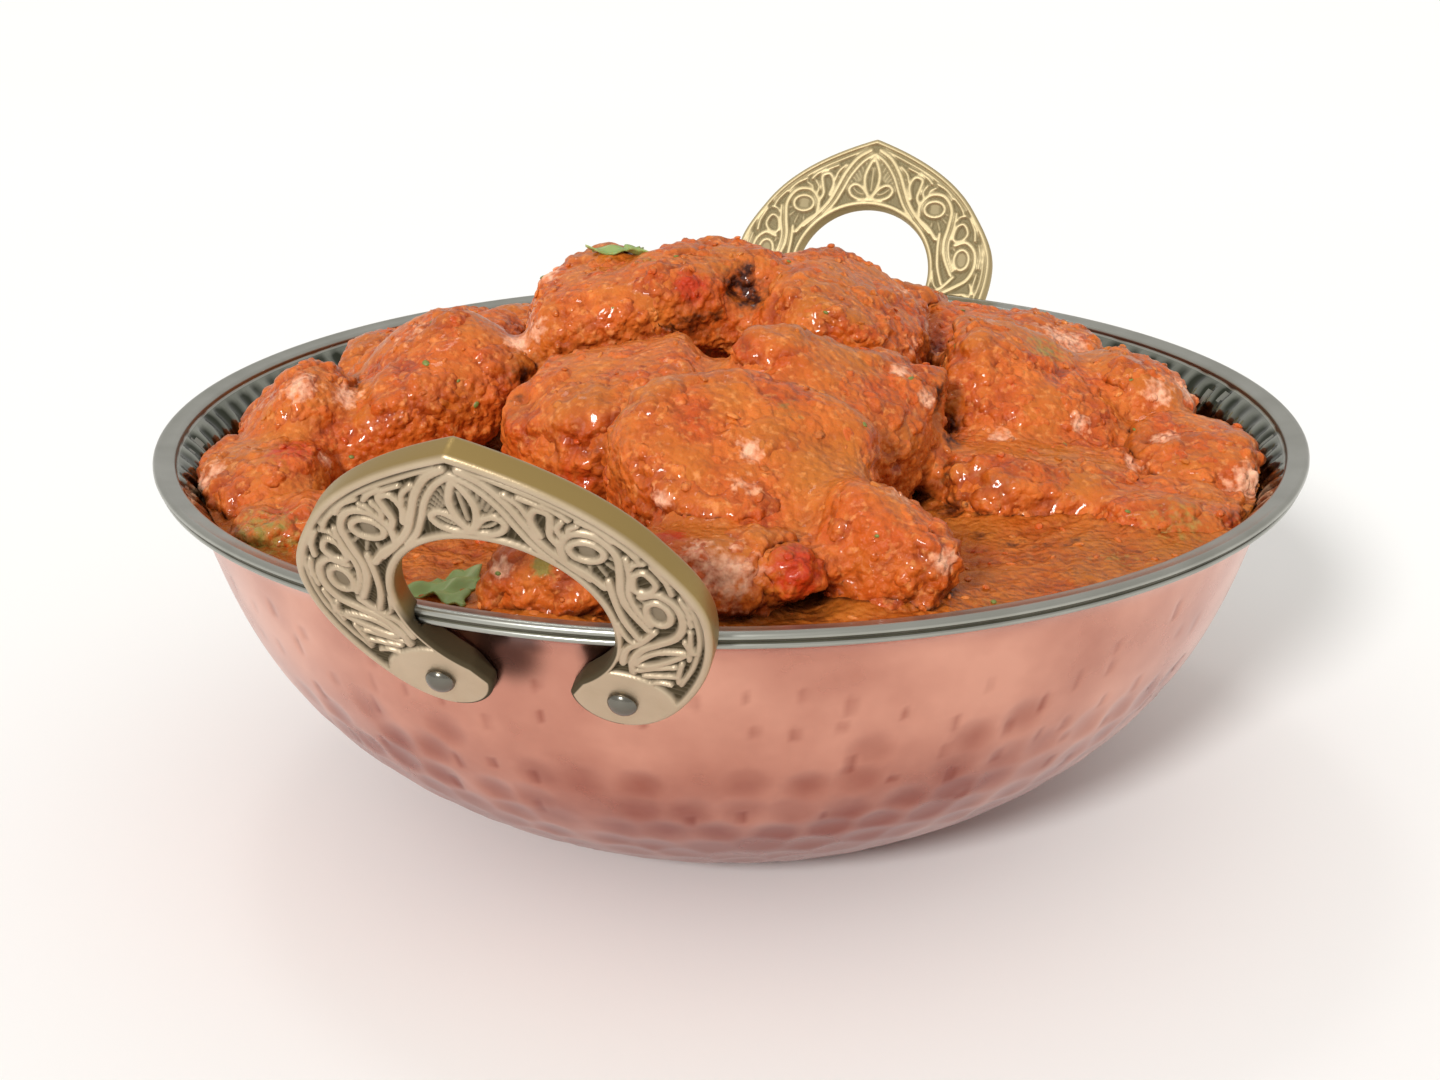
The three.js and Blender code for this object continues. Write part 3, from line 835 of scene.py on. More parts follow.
@dataclass
class Studio:
    """Floor, sky, lamps and camera."""

    floor_radius: float = 4000.0
    camera_place: tuple[float, float, float] = (0.0, -278.435, 139.512)
    camera_yaw: float = -0.333
    camera_look: float = -20.659
    camera_roll: float = -0.447
    camera_lens: float = 49.13
    sky_low: float = 0.66
    sky_high: float = 0.72
    sky_tint: str = "#FFFDFA"

    def build(self) -> None:
        """Make everything that isn't part of the object."""
        angles = np.linspace(0, 2 * math.pi, 96, endpoint=False)
        ring = np.stack([np.cos(angles), np.sin(angles), 0 * angles], axis=1) * self.floor_radius
        floor = make_piece("floor", ring, [tuple(range(len(ring)))])
        floor.data.materials.append(PaleFloor().material())
        self.light_sky()
        self.add_lamp("key", towards=(-0.36, -0.8, 0.48), softness=10, strength=2.4)
        self.add_lamp("top", towards=(-0.22, 0.36, 0.9), softness=10, strength=0.15)
        self.place_camera()
        bpy.context.scene.view_settings.view_transform = "Standard"
        log.info("studio: floor, sky, two far softboxes and camera")

    def light_sky(self) -> None:
        """Make a dome that is brighter overhead than at the horizon."""
        world = bpy.data.worlds.new("studio")
        bpy.context.scene.world = world
        world.use_nodes = True
        add = partial(add_node, world.node_tree)
        towards = add("ShaderNodeTexCoord").outputs["Generated"]
        height = add("ShaderNodeSeparateXYZ", {0: towards}).outputs["Z"]
        span = {"From Min": 0.1, "From Max": 0.9, "To Min": self.sky_low, "To Max": self.sky_high}
        light = add("ShaderNodeMapRange", {"Value": height, **span}, interpolation_type="SMOOTHSTEP")
        feed(world.node_tree.nodes["Background"], {"Strength": light, "Color": linear(self.sky_tint)})

    def add_lamp(
        self, name: str, towards: tuple[float, float, float], softness: float, strength: float
    ) -> None:
        """Hang a round softbox so far off that it lights the whole floor alike.

        Args:
            name: The lamp's name.
            towards: The way from the bowl to the lamp.
            softness: How wide the lamp looks from the bowl, in degrees.
            strength: Its light on a surface that faces it.
        """
        lamp = bpy.data.lights.new(name, "SUN")
        lamp.angle = math.radians(softness)
        lamp.energy = strength
        holder = put_in_scene(name, lamp)
        holder.location = Vector(towards)
        holder.rotation_euler = (-Vector(towards)).to_track_quat("-Z", "Y").to_euler()

    def place_camera(self) -> None:
        """Set the camera, turned by its yaw, its look up or down, and its roll."""
        yaw, look, roll = (math.radians(a) for a in (self.camera_yaw, self.camera_look, self.camera_roll))
        ahead = Vector((math.sin(yaw) * math.cos(look), math.cos(yaw) * math.cos(look), math.sin(look)))
        right = ahead.cross(Vector((0, 0, 1))).normalized()
        up = right.cross(ahead)
        across = right * math.cos(roll) + up * math.sin(roll)
        upright = up * math.cos(roll) - right * math.sin(roll)
        lens = bpy.data.cameras.new("camera")
        lens.lens = self.camera_lens
        lens.sensor_width = 36.0
        lens.clip_start = 0.01
        camera = put_in_scene("camera", lens)
        turn = Matrix((across, upright, -ahead)).transposed().to_4x4()
        camera.matrix_world = Matrix.Translation(Vector(self.camera_place) * MM) @ turn
        bpy.context.scene.camera = camera


# ---- Bowl -----------------------------------------------------------------------------------


def hammer_recipe(mark: Mark) -> Recipe:
    """A tree that beats dents into the struck side of a sheet, one at each mark.

    Args:
        mark: Whether the dents are round or run along edges.

    Returns:
        The tree, with the marks' object and the dents' size as inputs.
    """
    recipe = Recipe(
        f"hammer_{mark.name.lower()}",
        {
            "Marks": ("Object", None),
            "Reach": ("Float", 0.003),
            "Depth": ("Float", 0.0002),
            "Darkening": ("Float", 1.0),
        },
    )
    add, given = recipe.add, recipe.given
    marks = add("GeometryNodeObjectInfo", {0: given["Marks"]}, transform_space="RELATIVE")
    near = add("GeometryNodeProximity", {0: marks.outputs["Geometry"]}, target_element=mark.value)
    ratio = add("ShaderNodeMath", {0: near.outputs["Distance"], 1: given["Reach"]}, operation="DIVIDE")
    square = add("ShaderNodeMath", {0: ratio, 1: 2.0}, operation="POWER")
    bowl = add("ShaderNodeMath", {0: 1.0, 1: square}, operation="SUBTRACT", use_clamp=True)
    soft = add("ShaderNodeMath", {0: bowl, 1: 1.15}, operation="POWER")
    struck = add("GeometryNodeInputNamedAttribute", {"Name": "struck"}, data_type="FLOAT")
    place = add("GeometryNodeInputPosition")
    force = add("ShaderNodeTexNoise", {"Vector": place, "Scale": 1 / (11 * MM), "Detail": 0.0})
    blow = add(
        "ShaderNodeMapRange",
        {"Value": force, "From Min": 0.3, "From Max": 0.7, "To Min": 0.5, "To Max": 1.2},
    )
    dent = add("ShaderNodeMath", {0: soft, 1: blow}, operation="MULTIPLY")
    felt = add("ShaderNodeMath", {0: dent, 1: struck}, operation="MULTIPLY")
    depth = add("ShaderNodeMath", {0: felt, 1: given["Depth"]}, operation="MULTIPLY")
    inwards = add("ShaderNodeMath", {0: depth, 1: -1.0}, operation="MULTIPLY")
    normal = add("GeometryNodeInputNormal")
    push = add("ShaderNodeVectorMath", {0: normal, "Scale": inwards}, operation="SCALE")
    # how much the finish darkens in each dent, which inside the steel is painted reflection
    before = add("GeometryNodeInputNamedAttribute", {"Name": "dent"}, data_type="FLOAT")
    total = add("ShaderNodeMath", {0: felt, 1: given["Darkening"], 2: before}, operation="MULTIPLY_ADD")
    noted = add(
        "GeometryNodeStoreNamedAttribute",
        {0: given["Geometry"], "Name": "dent", "Value": total},
        data_type="FLOAT",
        domain="POINT",
    )
    recipe.finish(add("GeometryNodeSetPosition", {0: noted, "Offset": push}))
    return recipe


@dataclass
class Kadai:
    """The bowl: a copper shell, a steel lining with a rolled rim, and the hammer's work on both.

    The rows of marks are their lowest and highest height, and the distance between two marks.
    """

    rim_radius: float = 82.5
    rim_height: float = 54.8
    bead_radius: float = 0.62
    fold_radius: float = 0.42
    fold_place: tuple[float, float] = (81.62, 52.98)
    seam_low: float = 53.22
    seam_high: float = 54.0
    bend_reach: float = 2.4
    flange_height: float = 54.45
    flange_inner: float = 79.3
    base_radius: float = 36.0
    base_rounding: float = 7.0
    full_radius: float = 78.3
    full_height: float = 52.2
    straight_share: float = 0.33
    rounding: float = 3.4
    wall_top: float = 50.8
    lip_radius: float = 81.1
    lip_height: float = 52.75
    sheet: float = 0.6
    gap: float = 0.3
    steps: int = 104
    floor_steps: int = 8
    sides: int = 600
    seed: int = 11
    round_rows: tuple[float, float, float] = (3.0, 36.0, 6.6)
    dash_rows: tuple[float, float, float] = (24.0, 48.0, 6.2)
    flute_rows: tuple[float, float, float] = (26.0, 53.5, 4.4)
    handle_turn: float = -107.1
    # painted shade on the copper beside each handle's feet, for its shadow and dark reflection: across,
    # height, reach and strength
    unpolished: tuple[tuple[float, float, float, float], ...] = (
        (-3.0, 48.4, 4.2, 0.95),
        (-0.8, 50.4, 2.8, 0.9),
        (8.6, 49.4, 2.6, 0.85),
    )

    def wall_radius(self, height: np.ndarray | float) -> np.ndarray | float:
        """Outside radius of the copper wall at a height."""
        part = np.clip(height / self.full_height, 0, 1)
        cone = self.straight_share * part
        swell = (1 - self.straight_share) * (1 - (1 - part) ** self.rounding)
        return self.base_radius + (self.full_radius - self.base_radius) * (cone + swell)

    def inside_radius(self, height: np.ndarray) -> np.ndarray:
        """Inside radius of the steel at a height."""
        line = self.sheet_line(2 * self.sheet + self.gap)
        rising = line[line[:, 0] > self.base_radius]
        return np.interp(height, rising[:, 1], rising[:, 0])

    def sheet_line(self, inset: float) -> np.ndarray:
        """The wall's section from the axis to the lip, moved inwards.

        Args:
            inset: How far in from the copper's outside, in millimetres.

        Returns:
            Radius and height of its points.
        """
        heights = self.wall_top * np.linspace(0, 1, self.steps) ** 1.4
        wall = np.stack([self.wall_radius(heights), heights], axis=1)
        lip = np.array([[self.lip_radius, self.lip_height]])
        across = np.linspace(0, self.base_radius, self.floor_steps, endpoint=False)
        floor = np.stack([across, 0 * across], axis=1)
        line = np.vstack([floor, wall, lip])
        near_foot = np.abs(line[:, 0] - self.base_radius) < self.base_rounding
        corner = evenly(line[near_foot], 12)
        weight = np.sin(np.linspace(0, math.pi, 12))[:, None] ** 2
        chord = np.linspace(corner[0], corner[-1], 12)
        corner = corner + 0.35 * weight * (chord - corner)
        first = int(np.argmax(near_foot))
        last = first + int(near_foot.sum())
        line = np.vstack([line[:first], corner, line[last:]])
        bend, wall = line[-2], line[:-2]
        wall = wall[np.linalg.norm(wall - bend, axis=1) > self.bend_reach]
        edge = rounded(np.vstack([wall[-1], bend, line[-1]]), (0, self.bend_reach, 0), 10)
        line = np.vstack([wall, edge[1:]])
        stretch = np.linspace(line[-2], line[-1], 5)
        line = np.vstack([line[:-2], stretch])
        moved = line + left_normals(line) * inset
        moved[0, 0] = 0
        return moved

    def build(self) -> None:
        """Make both sheets."""
        self.build_copper()
        self.build_steel()

    def build_copper(self) -> None:
        """Make the copper shell, with round hammer marks below and short planishing marks above."""
        outside = self.sheet_line(0)
        inside = thinned(self.sheet_line(self.sheet), 5)
        middle, half = (outside[-1] + inside[-1]) / 2, (outside[-1] - inside[-1]) / 2
        forward = np.array([-half[1], half[0]])
        turn = np.radians(np.linspace(0, 180, 7))[1:-1, None]
        lip = middle + half * np.cos(turn) + forward * np.sin(turn)
        section = np.vstack([outside, lip, inside[::-1]])
        struck = np.zeros(len(section))
        struck[: len(outside)] = np.clip((outside[:, 1] - 0.6) / 2, 0, 1)
        shell = turned("copper_shell_hammered", section, self.sides, struck=struck, dent=0 * struck)
        # each kind of mark: its reach, its depth and how much it darkens the copper
        for mark, rows, reach, depth, darkening in (
            (Mark.ROUND, self.round_marks(), 3.5, 0.27, 0.88),
            (Mark.DASH, self.dash_marks(), 0.8, 0.14, 0.9),
        ):
            marks = make_piece("marks", *rows)
            sizes = {"Reach": reach * MM, "Depth": depth * MM, "Darkening": darkening}
            hammer_recipe(mark).put_on(shell, Marks=marks, **sizes)
            remove(marks)
        # painted shade beside the handles' feet
        self.leave_unpolished(shell)
        dress(shell, [HammeredCopper().material()], Slot.COPPER, "copper_shell")

    def leave_unpolished(self, shell: bpy.types.Object) -> None:
        """Paint the handles' shadow and dark reflection on the copper beside their feet."""
        spots = []
        for turn in (self.handle_turn, self.handle_turn + 180):
            c, s = math.cos(math.radians(turn)), math.sin(math.radians(turn))
            for across, height, reach, strength in self.unpolished:
                radius = self.wall_radius(height)
                spots.append((radius * c - across * s, radius * s + across * c, height, reach, strength))
        write_values(shell, "unpolished", fading(corners_of(shell), spots, power=4))

    def rows_between(self, low: float, high: float, pitch: float) -> list[tuple[float, np.ndarray]]:
        """Staggered rows of marks up the wall.

        Args:
            low: Height of the lowest row in millimetres.
            high: Height of the highest row.
            pitch: Distance between neighbouring marks.

        Returns:
            For each row its height and the angles of its marks.
        """
        random = np.random.default_rng(self.seed)
        fine = np.linspace(low, high, 200)
        climb = np.hypot(np.diff(fine), np.diff(self.wall_radius(fine)))
        reach = np.concatenate([[0], np.cumsum(climb)])
        rows = []
        for index, at in enumerate(np.arange(0, reach[-1], pitch * math.sqrt(0.75))):
            height = float(np.interp(at, reach, fine))
            count = round(2 * math.pi * self.wall_radius(height) / pitch)
            turns = (np.arange(count) + 0.5 * (index % 2) + random.uniform(-0.1, 0.1, count)) / count
            rows.append((height, 2 * math.pi * turns))
        return rows

    def round_marks(self) -> tuple[np.ndarray, list]:
        """Points of the round marks on the lower wall."""
        random = np.random.default_rng(self.seed + 1)
        places = []
        for height, angles in self.rows_between(*self.round_rows):
            for angle in angles + random.uniform(-0.01, 0.01, len(angles)):
                z = height + random.uniform(-0.8, 0.8)
                radius = self.wall_radius(z)
                if random.uniform(24.0, 44.0) > z:
                    places.append((radius * math.cos(angle), radius * math.sin(angle), z))
        return np.array(places), []

    def dash_marks(self) -> tuple[np.ndarray, list]:
        """Short upright strokes of the planishing marks on the upper wall."""
        random = np.random.default_rng(self.seed + 2)
        places, strokes = [], []
        for height, angles in self.rows_between(*self.dash_rows):
            for angle in angles + random.uniform(-0.02, 0.02, len(angles)):
                length = random.uniform(0.4, 2.0)
                middle = height + random.uniform(-1.6, 1.6)
                if random.uniform() < 0.45:
                    continue
                for z in (middle - length / 2, middle + length / 2):
                    radius = self.wall_radius(z)
                    places.append((radius * math.cos(angle), radius * math.sin(angle), z))
                strokes.append((len(places) - 2, len(places) - 1))
        return np.array(places), strokes

    def build_steel(self) -> None:
        """Make the lining: hammered inside, with a sloping band, a flat flange and a rolled bead."""
        outside = thinned(self.sheet_line(self.sheet + self.gap), 4)
        inside = self.sheet_line(2 * self.sheet + self.gap)
        buried = inside[:, 1] < 40
        inside = np.vstack([thinned(inside[buried], 5), inside[~buried]])
        centre = np.array([self.rim_radius - self.bead_radius, self.rim_height - self.bead_radius])
        around = np.radians(np.linspace(-190, 60, 14))[:, None]
        fold = self.fold_place + self.fold_radius * np.hstack([np.cos(around), np.sin(around)])
        around = np.radians(np.linspace(-80, 128, 20))[:, None]
        bead = np.vstack([fold, centre + self.bead_radius * np.hstack([np.cos(around), np.sin(around)])])
        corner = [self.flange_inner, self.flange_height]
        shoulder = rounded(np.vstack([bead[-1], corner, inside[-4]]), (0, 0.8, 0), 6)
        section = np.vstack([outside[:-1], bead, shoulder[1:-1], inside[:-3][::-1]])
        first_inside = len(outside) + len(bead) + len(shoulder) - 3
        struck = np.zeros(len(section))
        inner = slice(first_inside, len(section))
        struck[inner] = np.clip((self.flange_height - 0.7 - section[inner, 1]) / 0.8, 0, 1)
        liner = turned("steel_liner_hammered", section, self.sides, struck=struck, dent=0 * struck)
        marks = make_piece("marks", *self.flute_marks())
        hammer_recipe(Mark.DASH).put_on(liner, Marks=marks, Reach=1.8 * MM, Depth=0.5 * MM)
        remove(marks)
        # painted reflection: the inside's dents go nearly black, for the dark reflections in its flutes
        bright = SteelFinish("polished stainless steel", "#B4B6AA", "#3A3D33", 0.14)
        # painted shade: a dark band in the seam under the rolled bead, where the gap's shadow falls
        seam = SteelFinish("stainless steel dark with polish in the seam", "#6A685A", "#403E34", 0.5)
        looks = [SteelFinish().material(), bright.material(), seam.material()]
        dress(liner, looks, Slot.STEEL, "steel_liner")
        band = np.zeros(len(liner.data.polygons), int)
        between = self.sheet_line(self.sheet + 1.5 * self.gap)[self.floor_steps :]
        for face in liner.data.polygons:
            reach, height = math.hypot(*face.center[:2]) / MM, face.center.z / MM
            within = reach < np.interp(height, between[:, 1], between[:, 0])
            # the seam's faces take the painted shade, and the faces inside the bowl take the polished finish
            in_seam = reach > self.rim_radius - 1.3 and self.seam_low < height < self.seam_high
            band[face.index] = 2 if in_seam else int(within and reach < self.flange_inner)
        liner.data.polygons.foreach_set("material_index", band)

    def flute_marks(self) -> tuple[np.ndarray, list]:
        """Upright strokes of the hammer inside the bowl."""
        random = np.random.default_rng(self.seed + 3)
        places, strokes = [], []
        line = self.sheet_line(2 * self.sheet + self.gap)[self.floor_steps :]
        for height, angles in self.rows_between(*self.flute_rows):
            for angle in angles:
                length = random.uniform(2.0, 4.5)
                for z in (height - length / 2, min(height + length / 2, self.lip_height + 1)):
                    radius = np.interp(z, line[:, 1], line[:, 0])
                    places.append((radius * math.cos(angle), radius * math.sin(angle), z))
                strokes.append((len(places) - 2, len(places) - 1))
        return np.array(places), strokes


# ---- Handles --------------------------------------------------------------------------------


@dataclass(frozen=True)
class Stroke:
    """One raised line of the cast ornament, given on the right half and mirrored to the left."""

    points: tuple[tuple[float, float], ...]
    width: float = 0.45
    closed: bool = False
    rise: float = 1.0


def ring_stroke(x: float, y: float, across: float, tall: float, width: float = 0.4) -> Stroke:
    """An oval ring as a stroke, from its middle and half sizes."""
    turns = [2 * math.pi * k / 8 for k in range(8)]
    return Stroke(tuple((x + across * math.cos(t), y + tall * math.sin(t)) for t in turns), width, True)


def fan(x: float, y: float, angles: Sequence[float], near: float, far: float, width: float) -> list[Stroke]:
    """Straight strokes that spread from a place, as the ribs of a palmette do."""
    strokes = []
    for angle in angles:
        way = (math.cos(math.radians(angle)), math.sin(math.radians(angle)))
        line = tuple((x + way[0] * r, y + way[1] * r) for r in (near, (near + far) / 2, far))
        strokes.append(Stroke(line, width, False, 0.6))
    return strokes


def flower_scroll() -> list[Stroke]:
    """The ornament: a palmette under the point, and a vine with two bosses down each leg."""
    strokes = [
        Stroke(((0.0, 27.6), (1.0, 29.4), (1.4, 31.8), (0.8, 34.0), (0.0, 35.6)), 0.45),
        Stroke(((0.0, 29.4), (0.05, 31.4), (0.0, 33.6)), 0.25, False, 0.7),
        Stroke(((0.4, 27.8), (1.8, 27.4), (3.5, 28.1), (4.1, 29.4), (3.1, 30.3), (1.6, 29.6)), 0.42, True),
        Stroke(((1.2, 28.4), (2.3, 28.7), (3.2, 29.4)), 0.22, False, 0.7),
        Stroke((
            (0.9, 37.0), (3.2, 35.4), (5.1, 32.6), (6.4, 29.5), (7.6, 26.8), (9.4, 24.4), (11.6, 22.6),
            (13.2, 20.6),
        ), 0.48),
        Stroke(((0.2, 36.2), (2.3, 34.5), (4.1, 31.9), (5.3, 29.1), (6.6, 26.4), (8.3, 24.2)), 0.4),
        Stroke((
            (7.7, 28.0), (7.2, 30.4), (8.1, 32.1), (9.5, 31.6), (9.2, 29.8), (8.9, 28.2), (9.6, 26.6),
        ), 0.42),
        Stroke(((10.6, 30.6), (9.9, 29.4), (10.2, 28.0)), 0.35),
        Stroke(((12.2, 30.2), (11.2, 29.6), (10.9, 28.6)), 0.3),
        ring_stroke(12.4, 26.2, 1.9, 1.5),
        Stroke(((12.4, 26.6), (12.4, 25.8)), 0.95, False, 0.45),
        Stroke((
            (9.6, 24.6), (9.7, 27.0), (11.4, 28.9), (14.0, 28.7), (15.6, 26.2), (15.4, 23.0), (14.9, 20.0),
            (15.3, 17.2), (16.8, 14.0),
        ), 0.46),
        Stroke(((16.6, 25.6), (16.4, 22.8), (15.8, 19.8), (16.2, 17.2), (17.3, 14.8)), 0.34),
        Stroke(((13.9, 21.6), (13.9, 18.6), (14.3, 15.2), (15.3, 12.2)), 0.4),
        Stroke(((16.6, 20.6), (16.9, 22.9), (18.2, 23.6), (19.1, 21.9), (18.1, 20.5)), 0.36, True),
        Stroke(((18.4, 25.2), (17.3, 24.9), (16.8, 24.2)), 0.3),
        ring_stroke(18.5, 16.9, 1.35, 1.9),
        Stroke(((18.5, 17.5), (18.5, 16.3)), 0.8, False, 0.45),
        Stroke((
            (17.0, 19.6), (19.0, 20.2), (20.7, 18.6), (21.0, 15.8), (19.9, 13.2), (17.6, 11.6), (15.4, 10.2),
            (13.9, 8.0), (13.5, 5.9),
        ), 0.46),
        Stroke(((17.4, 13.6), (15.6, 11.6), (13.6, 10.0), (12.6, 7.4)), 0.4),
        Stroke(((14.4, 7.9), (17.0, 9.9), (20.2, 10.3), (18.0, 8.5), (15.2, 7.2)), 0.36, True),
        Stroke(((14.2, 6.3), (16.2, 7.0), (18.6, 7.6)), 0.3),
        Stroke(((14.7, 5.4), (16.4, 5.6), (18.4, 5.9)), 0.3),
        Stroke(((15.6, 4.2), (16.6, 4.4), (17.6, 4.2)), 0.28),
        Stroke(((20.6, 12.4), (20.9, 11.0), (20.6, 9.4)), 0.3),
        Stroke(((1.6, 37.1), (6.0, 35.1), (10.6, 32.7), (14.8, 29.6), (18.0, 26.2)), 0.3, False, 0.85),
        Stroke(((5.2, 34.0), (6.5, 32.6), (7.0, 31.0)), 0.34),
        Stroke(((6.6, 33.8), (8.0, 33.2), (9.2, 32.6)), 0.3),
        Stroke(((9.0, 33.0), (10.6, 31.9), (11.4, 31.0)), 0.34),
        Stroke(((12.4, 31.0), (14.3, 29.9), (15.6, 28.3)), 0.34),
        Stroke(((15.9, 28.4), (17.2, 26.9), (18.0, 25.4)), 0.3),
        Stroke((
            (20.2, 24.0), (21.9, 20.6), (22.5, 16.8), (22.3, 12.6), (20.9, 8.2), (18.8, 4.4),
        ), 0.3, False, 0.85),
        Stroke(((19.2, 24.8), (20.3, 22.6), (20.6, 20.6)), 0.34),
        Stroke(((21.4, 19.8), (21.9, 17.6), (21.8, 15.4)), 0.28),
        Stroke(((21.6, 14.4), (21.2, 12.0), (21.4, 10.6)), 0.28),
        Stroke(((19.6, 8.4), (18.9, 6.4), (18.6, 4.9)), 0.3),
        Stroke(((15.6, 16.4), (14.8, 18.4), (15.0, 20.6)), 0.28),
        Stroke(((13.4, 14.6), (14.0, 12.0), (15.0, 11.0)), 0.28),
        Stroke(((8.0, 26.2), (9.6, 23.9), (11.9, 21.6)), 0.28),
    ]
    strokes += fan(0, 27.4, (34, 42, 50, 57, 64, 71, 78), 4.4, 7.6, 0.24)
    strokes += fan(12.4, 26.2, (-20, -45, -70, -95), 2.6, 4.0, 0.24)
    strokes += fan(18.5, 16.9, (130, 155, 180), 2.0, 3.0, 0.24)
    return strokes


@dataclass
class CastHandles:
    """Two cast horseshoe plates, pointed at the top, with relief on both faces, and their rivets."""

    bowl: Kadai
    radius: float = 78.0
    height: float = 44.4
    lean: float = 29.5
    thickness: float = 3.3
    bevel: float = 0.6
    apex: float = 38.6
    half_width: float = 23.4
    widest: float = 15.5
    grip_radius: float = 13.2
    grip_centre: float = 13.6
    foot_inner: float = 5.4
    foot_bottom: float = -4.3
    foot_middle: float = 10.4
    rivet_spread: float = 11.2
    rivet_head: float = 1.8
    rivet_dome: float = 1.1
    relief_depth: float = 0.75
    outer_border: float = 0.3
    inner_border: float = 0.4
    boldness: float = 1.2
    hatch_depth: float = 0.28
    hatch_spacing: float = 0.8
    along: int = 270
    across: int = 58
    rounding_steps: int = 4

    def build(self) -> None:
        """Make both plates and the four rivets."""
        # painted light: the back handle takes a lighter, yellower copy of the brass with paler hollows, for
        # the different light on its face
        golden = CastBrass("#C6B690", "#B2A27A", "#8E8260", "#AE9864", roughness=0.55)
        for (name, turn), brass in zip(self.turns().items(), (CastBrass(), golden)):
            plate = self.build_plate(f"handle_{name}_cast", turn)
            dress(plate, [brass.material()], Slot.BRASS, f"handle_{name}")
        self.build_rivets()

    def turns(self) -> dict[str, float]:
        """The angle of each handle about the bowl's axis."""
        front = math.radians(self.bowl.handle_turn)
        return {"front": front, "back": front + math.pi}

    def to_bowl(self, plate_points: np.ndarray, turn: float) -> np.ndarray:
        """Carry points from the plate's frame to the bowl's.

        Args:
            plate_points: Across, up and out of the plate, in millimetres.
            turn: The handle's angle about the bowl's axis.

        Returns:
            The same points in the bowl's frame.
        """
        lean = math.radians(self.lean)
        across = np.array([0, 1, 0])
        up = np.array([math.sin(lean), 0, math.cos(lean)])
        out = np.array([math.cos(lean), 0, -math.sin(lean)])
        placed = plate_points @ np.stack([across, up, out]) + np.array([self.radius, 0, self.height])
        c, s = math.cos(turn), math.sin(turn)
        return placed @ np.array([[c, s, 0], [-s, c, 0], [0, 0, 1]])

    def half_outlines(self) -> tuple[np.ndarray, np.ndarray]:
        """Outer and inner edge of the right half, each from the top down to the foot's lowest place."""
        wide, low = self.half_width, self.foot_bottom
        outer = np.vstack([
            bezier((0, self.apex), (8.5, self.apex - 3), (15.5, self.apex - 7), (19.3, 25.6)),
            bezier((19.3, 25.6), (22, 21.6), (wide, 19), (wide, self.widest))[1:],
            bezier((wide, self.widest), (wide, 9.5), (20.8, 4), (17.2, -0.4))[1:],
            bezier((17.2, -0.4), (15, -3), (12.5, low), (self.foot_middle, low))[1:],
        ])
        end = -math.acos((self.foot_inner + 1.6) / self.grip_radius)
        angle = np.linspace(math.pi / 2, end, 60)
        grip = np.stack([np.cos(angle), np.sin(angle)], axis=1) * self.grip_radius + [0, self.grip_centre]
        toe = bezier((self.foot_inner, 0.2), (5.6, -2.4), (7.8, low), (self.foot_middle, low))
        return outer, np.vstack([grip, toe])

    def relief(
        self, points: np.ndarray, share: np.ndarray, width: np.ndarray, reach: np.ndarray
    ) -> np.ndarray:
        """How high the casting stands at each place of a face.

        Args:
            points: Places across and up the plate.
            share: How far each place is from the inner edge to the outer, from 0 to 1.
            width: The plate's width there.
            reach: The place's distance along the leg.

        Returns:
            From 0 in the ground of the ornament to 1 on its top.
        """
        folded = np.stack([np.abs(points[:, 0]), points[:, 1]], axis=1)
        to_outer = (1 - share) * width
        to_inner = share * width
        height = np.clip((self.outer_border + 0.3 - to_outer) / 0.35, 0, 1)
        height = np.maximum(height, np.clip((self.inner_border + 0.3 - to_inner) / 0.35, 0, 1))
        for stroke in flower_scroll():
            path = smooth_path(stroke.points, stroke.closed)
            low, high = path.min(0) - 1, path.max(0) + 1
            near = np.all((folded > low) & (folded < high), axis=1)
            apart = distance_to_path(folded[near], path) / (stroke.width * self.boldness)
            ridge = stroke.rise * np.clip(1.3 - apart**2, 0, 1) ** 0.6
            height[near] = np.maximum(height[near], ridge)
        pad = np.hypot((folded[:, 0] - 10.9) / 6.7, (folded[:, 1] - 0.3) / 5.0)
        height = np.maximum(height, np.clip((1.06 - pad) / 0.07, 0, 1))
        slant = reach + 0.35 * to_outer
        hatch = self.hatch_depth * (0.5 + 0.5 * np.cos(2 * math.pi * slant / self.hatch_spacing))
        return np.maximum(height, hatch)

    def build_plate(self, name: str, turn: float) -> bpy.types.Object:
        """Make one plate: rings round its section, from the left foot over the top to the right foot.

        Args:
            name: The piece's name.
            turn: The handle's angle about the bowl's axis.

        Returns:
            The closed plate in the bowl's frame.
        """
        outer_half, inner_half = (evenly(half, self.along) for half in self.half_outlines())
        mirror = np.array([-1, 1])
        outer = np.vstack([(outer_half * mirror)[::-1], outer_half[1:]])
        inner = np.vstack([(inner_half * mirror)[::-1], inner_half[1:]])
        share = np.linspace(0, 1, self.across + 1)
        face = inner[:, None] + share[None, :, None] * (outer - inner)[:, None]
        width = np.linalg.norm(outer - inner, axis=1)
        middle = (outer + inner) / 2
        reach = np.concatenate([[0], np.cumsum(np.linalg.norm(np.diff(middle, axis=0), axis=1))])
        rings, places = face.shape[:2]
        height = self.relief(
            face.reshape(-1, 2),
            np.tile(share, rings),
            np.repeat(width, places),
            np.repeat(reach, places),
        ).reshape(rings, places)
        drop = self.relief_depth * (1 - height)
        sides = self.edge_profile()
        parts, hollows, flanks = [], [], []
        edges = ((outer, left_normals(outer), True), (inner, -left_normals(inner), False))
        for edge, normals, from_front in edges:
            flat = face if from_front else face[:, ::-1]
            fall = drop if from_front else drop[:, ::-1]
            out = -fall if from_front else fall - self.thickness
            parts.append(np.concatenate([flat, out[..., None]], axis=2))
            hollows.append(fall / self.relief_depth)
            flanks.append(np.zeros_like(fall))
